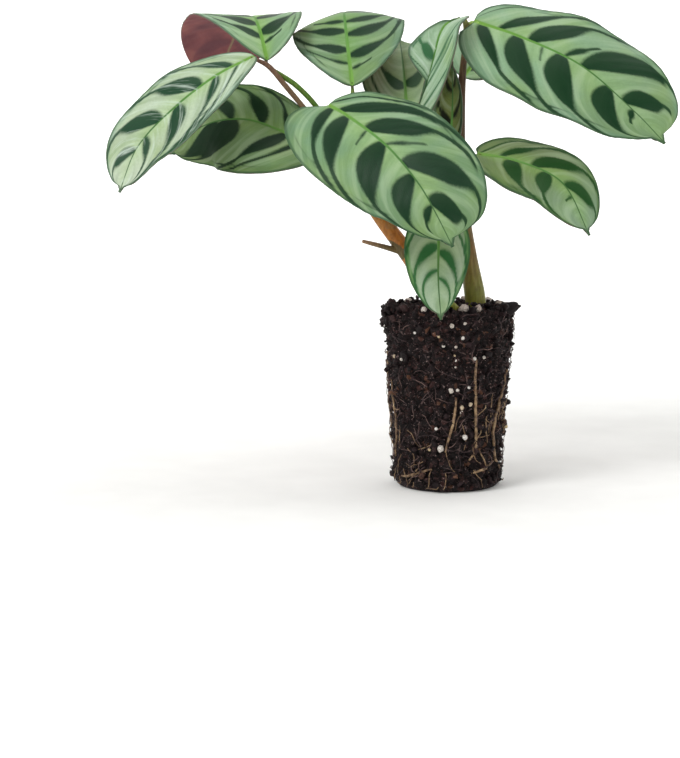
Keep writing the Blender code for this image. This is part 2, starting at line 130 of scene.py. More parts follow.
PLUG_HEIGHT = 50.0
PLUG_TOP_RADIUS = 18.0
PLUG_FOOT_RADIUS = 14.8
PLUG_RIM_ROUND = 2.4
PLUG_CRUMB = 0.9
PLUG_VOXEL = 0.36
CLUMP_SIZE = 3.1
CLUMP_RISE = 1.05
CLEFT_WIDTH = 0.40
SHRED_RISE = 0.85
FOOT_FLAT = 0.2              # below this height the block stays as it was pressed, mm
TOP_DOME = 0.8
RIM_LUMP = Vector((-14.6, -6.4, 48.4))
RIM_LUMP_SPREAD = 5.5
RIM_LUMP_RISE = 1.5
HOLE_DIP = 1.2               # how far the top sinks round each shoot's foot, mm
SHOOT_HOLES = [(7.9, 0.0, 3.4), (-2.2, -4.4, 2.6)]


def plug_radius(z):
    share = min(max(z / PLUG_HEIGHT, 0.0), 1.0)
    return PLUG_FOOT_RADIUS + (PLUG_TOP_RADIUS - PLUG_FOOT_RADIUS) * share ** 1.4


def clods(spot):
    """The plug's broad lumps, mm: the same as the solid's."""
    coarse = noise.noise(spot / 6.0)
    fine = noise.noise(spot / 2.6 + Vector((7.0, 3.0, 1.0)))
    return PLUG_CRUMB * (coarse + 0.5 * fine)


def crumbs(spot):
    """Torn clumps of about 3 mm with deep clefts between them, and shreds over all of it, mm."""
    torn = spot + noise.noise_vector(spot / 1.5) * 1.1
    near, second = noise.voronoi(torn / CLUMP_SIZE)[0][:2]
    clump = smooth(0.0, CLEFT_WIDTH, second - near) - 0.6 * near
    matted = Vector((torn.x, torn.y, torn.z * 2.2))
    shred = noise.turbulence(matted / 2.0, 3, True)
    return CLUMP_RISE * clump + SHRED_RISE * shred - 1.0


def on_side(turn, z, stand_out=0.0):
    """A point on the plug's side, from a way round it (degrees) and a height, mm."""
    around = math.radians(turn)
    radius = plug_radius(z)
    spot = Vector((radius * math.cos(around), radius * math.sin(around), z))
    radius += clods(spot) + stand_out
    return Vector((radius * math.cos(around), radius * math.sin(around), z))


bpy.ops.object.select_all(action="DESELECT")
bpy.ops.mesh.primitive_cylinder_add(vertices=96, radius=PLUG_TOP_RADIUS * MM, depth=PLUG_HEIGHT * MM,
                                    location=(0.0, 0.0, PLUG_HEIGHT * MM / 2.0))
plug = bpy.context.object
bpy.ops.object.transform_apply(location=True, rotation=True, scale=True)
modify(plug, "BEVEL", width=PLUG_RIM_ROUND * MM, segments=4, limit_method="ANGLE")
modify(plug, "REMESH", mode="VOXEL", voxel_size=PLUG_VOXEL * MM)
outward = [vert.normal.copy() for vert in plug.data.vertices]
for vert, out in zip(plug.data.vertices, outward):
    spot = vert.co / MM
    taper = plug_radius(spot.z) / PLUG_TOP_RADIUS
    spot.x *= taper
    spot.y *= taper
    if spot.z > FOOT_FLAT:
        loose = smooth(FOOT_FLAT, 1.6, spot.z)
        level = smooth(0.3, 0.9, out.z)
        from_axis = math.hypot(spot.x, spot.y)
        lump_share = math.exp(-((spot - RIM_LUMP).length / RIM_LUMP_SPREAD) ** 2)
        spot += out * (loose * (clods(spot) + crumbs(spot)) + RIM_LUMP_RISE * lump_share)
        spot.z += level * TOP_DOME * (1.0 - from_axis / PLUG_TOP_RADIUS)
        for x, y, width in SHOOT_HOLES:
            apart = math.hypot(spot.x - x, spot.y - y)
            spot.z -= level * HOLE_DIP * math.exp(-(apart / width) ** 2)
    vert.co = spot * MM
pick(plug)
bpy.ops.object.shade_smooth()

# Damp milled peat: matt, almost black, with reddish-brown crumbs and shreds. Each crumb has its own
# brown; the clefts between crumbs are painted black as shade, and tiny pale specks are painted glints.
peat, tree, shader = new_material("damp milled peat", Roughness=0.66, Specular_IOR_Level=0.22)
place = node(tree, "TexCoord", {}, "Object")
crumb_shade = node(tree, "TexVoronoi", {"Vector": place, "Scale": 620.0, "Randomness": 1.0}, "Color")
crumb_shade = node(tree, "SeparateColor", {0: crumb_shade})
crumb_edge = node(tree, "TexVoronoi", {"Vector": place, "Scale": 620.0}, feature="DISTANCE_TO_EDGE")
shreds = node(tree, "TexNoise", {"Vector": place, "Scale": 800.0, "Detail": 6.0, "Roughness": 0.78})
patches = node(tree, "TexNoise", {"Vector": place, "Scale": 140.0, "Detail": 2.0})
painted_glints = node(tree, "TexNoise", {"Vector": place, "Scale": 1500.0, "Detail": 4.0})
browns = [(0.0, "#10080A"), (0.50, "#1C0F11"), (0.80, "#301D1D"), (0.95, "#442B28"), (1.0, "#64422F")]
brown = node(tree, "ValToRGB", {0: crumb_shade}, stops=browns)
# Over it, in turn: pale shreds, painted shade in the clefts, wet patches and painted glints.
for pattern, stops, code in [(shreds, [(0.54, 0.0), (0.66, 0.85)], "#553C3A"),
                             (crumb_edge, [(0.02, 1.0), (0.16, 0.0)], "#0A0605"),
                             (patches, [(0.42, 0.0), (0.66, 0.6)], "#100A0B"),
                             (painted_glints, [(0.62, 0.0), (0.70, 0.75)], "#9A8480")]:
    cover = node(tree, "ValToRGB", {0: pattern}, stops=stops)
    brown = node(tree, "Mix", {0: cover, 6: brown, 7: tone(code)}, 2, data_type="RGBA")
tree.links.new(brown, shader.inputs["Base Color"])
rough = node(tree, "Math", {0: crumb_edge, 1: shreds}, operation="ADD")
bumps = node(tree, "Bump", {"Strength": 0.9, "Distance": 0.0006, "Height": rough})
tree.links.new(bumps, shader.inputs["Normal"])
dress(plug, "peat_block", [peat], "peat", "root_plug")


# Loose crumbs. Sieved bits of peat and bark, 0.3 to 3.5 mm across, that cling to the block's sides, lie
# on its top and heap up at its rim on the left. One rounded cube of 24 faces is modelled, and copied.

CRUMB_COUNT = 720
CRUMB_LEAST = 0.32
CRUMB_SPREAD = 0.75
ON_SIDE_SHARE = 0.62
OFF_RIM_SHARE = 0.86         # the sides' and the top's crumbs together
HEAP_TOP = 50.2
HEAP_PROUD = 1.6             # how far the heap at the rim may stand out from the side, mm

bpy.ops.object.select_all(action="DESELECT")
bpy.ops.mesh.primitive_cube_add(size=1.0, location=(0.0, 0.0, 0.0))
grain = bpy.context.object
bpy.ops.object.mode_set(mode="EDIT")
bpy.ops.mesh.select_all(action="SELECT")
bpy.ops.mesh.subdivide(number_cuts=1, smoothness=1.0)
bpy.ops.object.mode_set(mode="OBJECT")


def lump(model, centre, size, seed, dents=0.36):
    """A copy of the grain, squashed, turned and dented. It carries one random shade."""
    made = model.copy()
    made.data = model.data.copy()
    bpy.context.scene.collection.objects.link(made)
    grit = random.Random(seed)
    turn = Euler((grit.uniform(0.0, 6.28), grit.uniform(0.0, 6.28), grit.uniform(0.0, 6.28)))
    for vert in made.data.vertices:
        spot = vert.co.normalized() * (1.0 + dents * grit.uniform(-1.0, 1.0))
        spot = Vector((spot.x * size[0], spot.y * size[1], spot.z * size[2]))
        spot.rotate(turn)
        vert.co = (Vector(centre) + spot) * MM
    shade = made.data.attributes.new("shade", "FLOAT", "POINT")
    own = grit.random()
    for item in shade.data:
        item.value = own
    return made


draw = random.Random(11)
loose = []
for i in range(CRUMB_COUNT):
    radius = CRUMB_LEAST + CRUMB_SPREAD * draw.random() ** 2.2
    kind = draw.random()
    if kind < ON_SIDE_SHARE:
        centre = on_side(draw.uniform(0.0, 360.0), draw.uniform(1.6, 49.0), draw.uniform(-0.2, 0.5))
    elif kind < OFF_RIM_SHARE:
        away = (PLUG_TOP_RADIUS - 0.6) * math.sqrt(draw.random())
        around = draw.uniform(0.0, 6.28)
        centre = Vector((away * math.cos(around), away * math.sin(around), 0.0))
        centre.z = PLUG_HEIGHT + 0.7 * (1.0 - away / PLUG_TOP_RADIUS) + draw.uniform(-0.1, 0.7)
    else:
        radius *= 1.15
        centre = RIM_LUMP + Vector((draw.gauss(-0.6, 1.7), draw.gauss(-0.6, 2.0), draw.gauss(0.6, 1.9)))
        centre.z = min(centre.z, HEAP_TOP)
        out = Vector((centre.x, centre.y, 0.0))
        centre -= out.normalized() * max(out.length - plug_radius(centre.z) - HEAP_PROUD, 0.0)
    size = [radius * draw.uniform(0.45, 1.45) for axis in range(3)]
    loose.append(lump(grain, centre, size, 100 + i))
loose = join(loose)
bpy.ops.object.shade_smooth()

# The same peat, in single crumbs: a few are reddish bark or pale straw.
crumb_peat, tree, shader = new_material("loose peat crumbs", Roughness=0.68, Specular_IOR_Level=0.22)
place = node(tree, "TexCoord", {}, "Object")
shade = node(tree, "Attribute", {}, "Fac", attribute_name="shade")
browns = [(0.0, "#10080A"), (0.55, "#1E1214"), (0.88, "#302022"), (0.97, "#463230"), (1.0, "#7A5640")]
brown = node(tree, "ValToRGB", {0: shade}, stops=browns)
grit = node(tree, "TexNoise", {"Vector": place, "Scale": 1400.0, "Detail": 4.0, "Roughness": 0.7})
dark = node(tree, "ValToRGB", {0: grit}, stops=[(0.38, 0.75), (0.6, 0.0)])
brown = node(tree, "Mix", {0: dark, 6: brown, 7: tone("#0C0706")}, 2, data_type="RGBA")
tree.links.new(brown, shader.inputs["Base Color"])
bumps = node(tree, "Bump", {"Strength": 0.8, "Distance": 0.0003, "Height": grit})
tree.links.new(bumps, shader.inputs["Normal"])
dress(loose, "loose_crumbs", [crumb_peat], "peat")


# Perlite and bark. Perlite is volcanic glass puffed up by heat: white popcorn grains of 0.6 to 2.9 mm
# mixed into the peat, some stained by it. One chip of bark sticks out over the rim on the right.

# On the top by x and y, on the sides by the way round (degrees) and height; then the radius, mm.
TOP_PERLITE = [(3.4, -12.9, 1.45), (7.4, -12.4, 1.1), (-7.4, -14.6, 0.85), (-1.6, 10.0, 1.4),
               (-11.0, 6.0, 1.2), (11.4, 8.0, 1.2), (-16.3, -6.2, 0.7), (-4.0, 13.5, 0.7),
               (5.0, 14.0, 0.9), (14.0, 2.0, 0.8)]
SIDE_PERLITE = [(-90, 46.4, 0.65), (-78, 46.9, 0.5), (-101, 43.4, 0.4), (-123, 44.2, 0.4), (-80, 43.0, 0.5),
                (-97, 40.9, 0.5), (-86, 40.6, 0.42), (-87, 38.2, 0.30), (-86, 36.9, 0.36), (-86, 35.0, 0.28),
                (-68, 37.2, 0.5), (-57, 37.4, 0.5), (-73, 29.4, 0.45), (-79, 23.8, 0.62), (-79, 22.4, 0.55),
                (-70, 24.6, 0.6), (-104, 18.0, 0.5), (-100, 12.4, 0.95), (-75, 15.6, 0.8), (-58, 18.0, 0.45),
                (-150, 37.0, 0.5), (-141, 36.4, 0.45), (-112, 12.0, 0.45), (-90, 28.6, 0.75),
                (-84, 28.8, 0.5),
                (194, 45, 0.9), (148, 22, 1.0), (20, 30, 1.0), (60, 18, 0.8), (95, 40, 1.1), (110, 12, 0.7),
                (135, 33, 0.6), (170, 29, 0.5), (38, 42, 0.6), (5, 16, 0.7), (80, 27, 0.5)]
BARK_CENTRE = (15.6, -4.2, 49.4)
BARK_SIZE = (4.7, 2.0, 1.9)

bpy.ops.object.select_all(action="DESELECT")
bpy.ops.mesh.primitive_ico_sphere_add(subdivisions=4, radius=1.0, location=(0.0, 0.0, 0.0))
popcorn = bpy.context.object
spots = [(Vector((x, y, PLUG_HEIGHT + 0.5)), radius) for x, y, radius in TOP_PERLITE]
spots += [(on_side(turn, z, 0.25), radius) for turn, z, radius in SIDE_PERLITE]
grains = []
for i, (centre, radius) in enumerate(spots):
    puffed = lump(popcorn, centre, (radius, radius * 0.9, radius * 0.85), 40 + i, 0.02)
    for vert in puffed.data.vertices:
        spot = vert.co / MM
        near = noise.voronoi(spot / (radius * 0.62))[0][0]
        broad = noise.noise(spot / radius)
        vert.co += vert.normal * (radius * MM * (0.30 * (0.5 - near) + 0.22 * broad))
    grains.append(puffed)
perlite_grains = join(grains)
bpy.ops.object.shade_smooth()
# Expanded perlite: chalky white and full of pores, with peat stains in them.
perlite, tree, shader = new_material("expanded perlite", Roughness=0.8, Specular_IOR_Level=0.35)
place = node(tree, "TexCoord", {}, "Object")
shade = node(tree, "Attribute", {}, "Fac", attribute_name="shade")
whites = [(0.0, "#E4E0DA"), (0.55, "#CFC8BE"), (0.8, "#B9ABA0"), (1.0, "#D8C08A")]
white = node(tree, "ValToRGB", {0: shade}, stops=whites)
pores = node(tree, "TexNoise", {"Vector": place, "Scale": 2600.0, "Detail": 3.0})
stain = node(tree, "ValToRGB", {0: pores}, stops=[(0.36, 0.55), (0.52, 0.0)])
white = node(tree, "Mix", {0: stain, 6: white, 7: tone("#6E5A4E")}, 2, data_type="RGBA")
tree.links.new(white, shader.inputs["Base Color"])
bumps = node(tree, "Bump", {"Strength": 0.6, "Distance": 0.0001, "Height": pores})
tree.links.new(bumps, shader.inputs["Normal"])
dress(perlite_grains, "perlite", [perlite], "peat")

chip = lump(popcorn, BARK_CENTRE, (1.0, 1.0, 1.0), 5, 0.0)
for vert in chip.data.vertices:
    spot = vert.co / MM - Vector(BARK_CENTRE)
    flake = 1.0 + 0.35 * noise.noise(spot * 1.4)
    point = 1.0 - 0.62 * smooth(0.1, 1.0, spot.x)
    spot = Vector((spot.x * BARK_SIZE[0], spot.y * BARK_SIZE[1] * point, spot.z * BARK_SIZE[2] * point))
    spot *= flake
    spot.z += 0.30 * spot.x + 0.25 * noise.noise(Vector((spot.x * 0.5, spot.y * 3.0, 2.0)))
    vert.co = (Vector(BARK_CENTRE) + spot) * MM
pick(chip)
bpy.ops.object.shade_smooth()
# Composted bark: nearly black, in thin layers that show as fine ridges along the chip.
bark, tree, shader = new_material("composted pine bark", Roughness=0.8, Specular_IOR_Level=0.35)
place = node(tree, "TexCoord", {}, "Object")
layers = node(tree, "Mapping", {0: place, 3: (150.0, 500.0, 1800.0)})
layers = node(tree, "TexNoise", {"Vector": layers, "Scale": 1.0, "Detail": 4.0})
brown = node(tree, "ValToRGB", {0: layers}, stops=[(0.3, "#0B0708"), (0.55, "#171012"), (0.75, "#2A1E1C")])
tree.links.new(brown, shader.inputs["Base Color"])
bumps = node(tree, "Bump", {"Strength": 0.8, "Distance": 0.0003, "Height": layers})
tree.links.new(bumps, shader.inputs["Normal"])
dress(chip, "bark_chip", [bark], "peat")
for model in (grain, popcorn):
    bpy.data.objects.remove(model, do_unlink=True)


# Roots. Pale tan roots up to 0.8 mm thick run down the block's side where the cell's wall turned them;
# finer ones and brown shreds of fibre lie across the peat.

def tubes(routes, resolution):
    """Round strands as one mesh. Each route is a list of (point, radius), in mm."""
    bpy.ops.object.select_all(action="DESELECT")
    bpy.ops.curve.primitive_nurbs_path_add(location=(0.0, 0.0, 0.0))
    curve = bpy.context.object.data
    curve.splines.clear()
    for route in routes:
        spline = curve.splines.new("POLY")
        spline.points.add(len(route) - 1)
        for knot, (spot, radius) in zip(spline.points, route):
            knot.co = (spot[0] * MM, spot[1] * MM, spot[2] * MM, 1.0)
            knot.radius = radius
    curve.bevel_depth = MM
    curve.bevel_resolution = resolution
    curve.use_fill_caps = True
    bpy.ops.object.convert(target="MESH")
    bpy.ops.object.mode_set(mode="EDIT")
    bpy.ops.mesh.select_all(action="SELECT")
    bpy.ops.mesh.remove_doubles(threshold=1e-7)
    bpy.ops.mesh.normals_make_consistent(inside=False)
    bpy.ops.object.mode_set(mode="OBJECT")
    bpy.ops.object.shade_smooth()
    return bpy.context.object


def smooth_path(points, t):
    """The point at t (0 to 1) of the smooth curve that runs through all the points."""
    spans = len(points) - 1
    place = min(max(t, 0.0) * spans, spans - 1e-9)
    i = int(place)
    f = place - i
    b = Vector(points[i])
    c = Vector(points[i + 1])
    a = Vector(points[i - 1]) if i > 0 else b * 2.0 - c
    d = Vector(points[i + 2]) if i + 2 < len(points) else c * 2.0 - b
    span = (c - b).length
    leave = (c - a) * (span / ((b - a).length + span))
    arrive = (d - b) * (span / ((d - c).length + span))
    g = f * f * (3.0 - 2.0 * f)
    return b.lerp(c, g) + leave * (f * (1.0 - f) ** 2) - arrive * (f * f * (1.0 - f))


def even_path(points, count):
    """Points an even length apart along the smooth curve through the given points."""
    fine = [smooth_path(points, i / 400.0) for i in range(401)]
    run = [0.0]
    for p, q in zip(fine, fine[1:]):
        run.append(run[-1] + (q - p).length)
    out = []
    j = 0
    for i in range(count):
        want = run[-1] * i / (count - 1)
        while j < 399 and run[j + 1] < want:
            j += 1
        out.append(fine[j].lerp(fine[j + 1], (want - run[j]) / (run[j + 1] - run[j])))
    return out


# Each root from above down: the way round the plug (degrees) and height (mm); then its radius.
ROOTS = [
    ([(-66, 37), (-67, 31), (-65, 26), (-64, 22), (-62, 15), (-64, 11), (-70, 9)], 0.50),
    ([(-85, 26.5), (-86, 22), (-89, 18), (-93, 14), (-95, 11.5)], 0.46),
    ([(-20, 33), (-28, 26), (-36, 21), (-38, 15), (-34, 9), (-24, 5.5)], 0.50),
    ([(-150, 3.5), (-133, 4.4), (-118, 6.0), (-109, 6.5)], 0.46),
    ([(-67, 5.4), (-53, 6.4), (-37, 8.0)], 0.42),
    ([(-52, 21), (-50, 17), (-48, 13.5)], 0.26),
    ([(-78, 19), (-74, 15), (-76, 12)], 0.2),
    ([(-45, 27), (-46, 21), (-44, 16)], 0.18),
    ([(-58, 12), (-52, 8), (-44, 5)], 0.24),
    ([(124, 40), (130, 28), (121, 12)], 0.5),
    ([(72, 35), (64, 21), (71, 8)], 0.5),
    ([(170, 37), (176, 24), (168, 10)], 0.5),
    ([(20, 40), (27, 30), (18, 18), (24, 6)], 0.4),
    ([(150, 30), (143, 18), (152, 6)], 0.36),
    ([(95, 24), (100, 15), (90, 5)], 0.42),
    ([(196, 30), (203, 19), (194, 8)], 0.4),
]
ROOT_STANDS_OUT = 0.12
ROOT_SLENDER = 0.84          # the radii above are drawn at this share
HAIR_ROOT_COUNT = 70
FIBRE_COUNT = 260

draw = random.Random(23)
routes = []
for stops, radius in ROOTS:
    ends = [on_side(turn, z, ROOT_STANDS_OUT) for turn, z in stops]
    line = even_path(ends, 8 * len(ends))
    last = len(line) - 1
    route = []
    for i, spot in enumerate(line):
        out = Vector((spot.x, spot.y, 0.0)).normalized()
        climb = Vector((0.0, 0.0, 0.25 * noise.noise(spot / 1.7)))
        spot += out * (0.35 * noise.noise(spot / 2.0)) + climb
        thin = 1.0 - 0.45 * abs(2.0 * i / last - 1.0) ** 3
        route.append((spot, ROOT_SLENDER * radius * thin * (1.0 + 0.16 * noise.noise(spot * 1.5))))
    routes.append(route)
for i in range(HAIR_ROOT_COUNT):
    turn = draw.uniform(0.0, 360.0)
    z = draw.uniform(2.0, 26.0)
    heading = draw.uniform(-1.2, 1.2)
    route = []
    for k in range(9):
        spot = on_side(turn, min(max(z, 1.2), 49.0), 0.2 + 0.35 * draw.random())
        route.append((spot, 0.07 + 0.04 * (k < 6)))
        heading += draw.uniform(-0.35, 0.35)
        turn += 2.4 * math.sin(heading)
        z -= 0.8 * math.cos(heading)
    routes.append(route)
roots = tubes(routes, 2)

# Living root skin: tan and slightly waxy, with dark peat clinging to it in patches.
root_skin, tree, shader = new_material("living root skin", Roughness=0.6, Specular_IOR_Level=0.4)
place = node(tree, "TexCoord", {}, "Object")
soil = node(tree, "TexNoise", {"Vector": place, "Scale": 700.0, "Detail": 4.0, "Roughness": 0.65})
tans = [(0.32, "#33241C"), (0.45, "#6C543E"), (0.58, "#94795A"), (0.75, "#B29C7C")]
tan = node(tree, "ValToRGB", {0: soil}, stops=tans)
tree.links.new(tan, shader.inputs["Base Color"])
bumps = node(tree, "Bump", {"Strength": 0.5, "Distance": 0.0001, "Height": soil})
tree.links.new(bumps, shader.inputs["Normal"])
dress(roots, "roots", [root_skin], "peat")

routes = []
for i in range(FIBRE_COUNT):
    turn = draw.uniform(0.0, 360.0)
    z = draw.uniform(4.0, 49.0)
    heading = draw.uniform(-3.1, 3.1)
    route = []
    for k in range(6):
        spot = on_side(turn, min(max(z, 1.5), 49.5), 0.30 + 0.55 * draw.random())
        route.append((spot, 0.11 - 0.010 * k))
        heading += draw.uniform(-0.5, 0.5)
        turn += 3.2 * math.sin(heading)
        z -= 0.9 * math.cos(heading)
    routes.append(route)
shreds = tubes(routes, 1)

# Peat fibre: dull threads of half-rotted moss, from nearly black to a dusty brown.
fibre, tree, shader = new_material("peat fibre", Roughness=0.7, Specular_IOR_Level=0.4)
place = node(tree, "TexCoord", {}, "Object")
patches = node(tree, "TexNoise", {"Vector": place, "Scale": 250.0, "Detail": 2.0})
brown = node(tree, "ValToRGB", {0: patches}, stops=[(0.35, "#22171A"), (0.5, "#443434"), (0.66, "#78605A")])
tree.links.new(brown, shader.inputs["Base Color"])
dress(shreds, "peat_fibres", [fibre], "peat")


# Leaf blades. Twelve living blades, 0.36 mm thick: pale grey-green above with dark green feathers that
# run from the midrib and sweep along the margin, purple beneath. Each is grown from one grid.

# spine: the midrib from base to tip, mm. face: the way the upper side looks, at even steps. halves: the
# widths left and right of the midrib, mm. shoulder, blunt and drip shape the outline, and lobe is how far
# each half reaches back at the base, mm. fold and curl (degrees), wave (mm) and ripples bend the blade.
# feathers: for the left and right half, each dark feather's start along the midrib, its size, and how far
# out it reaches. lean: how far the feathers of a half sweep towards the tip: evenly, more and more, and
# in their tails along the margin. swell: how far out they are widest. painted sheen: how strongly pale
# streaks show, painted highlights that stand in for light on the waxy skin. tones: the ground at the base,
# at the tip and beside the midrib, the feather, the margin. Some leaves' tones hold painted light and shade.
PLAIN_LEFT = [(0.06, 0.7, 1.0), (0.22, 1.0, 1.0), (0.40, 1.0, 1.0), (0.60, 1.0, 1.0), (0.79, 0.7, 1.0)]
PLAIN_RIGHT = [(0.12, 0.8, 1.0), (0.30, 1.0, 1.0), (0.50, 1.0, 1.0), (0.70, 0.9, 1.0), (0.86, 0.5, 0.7)]
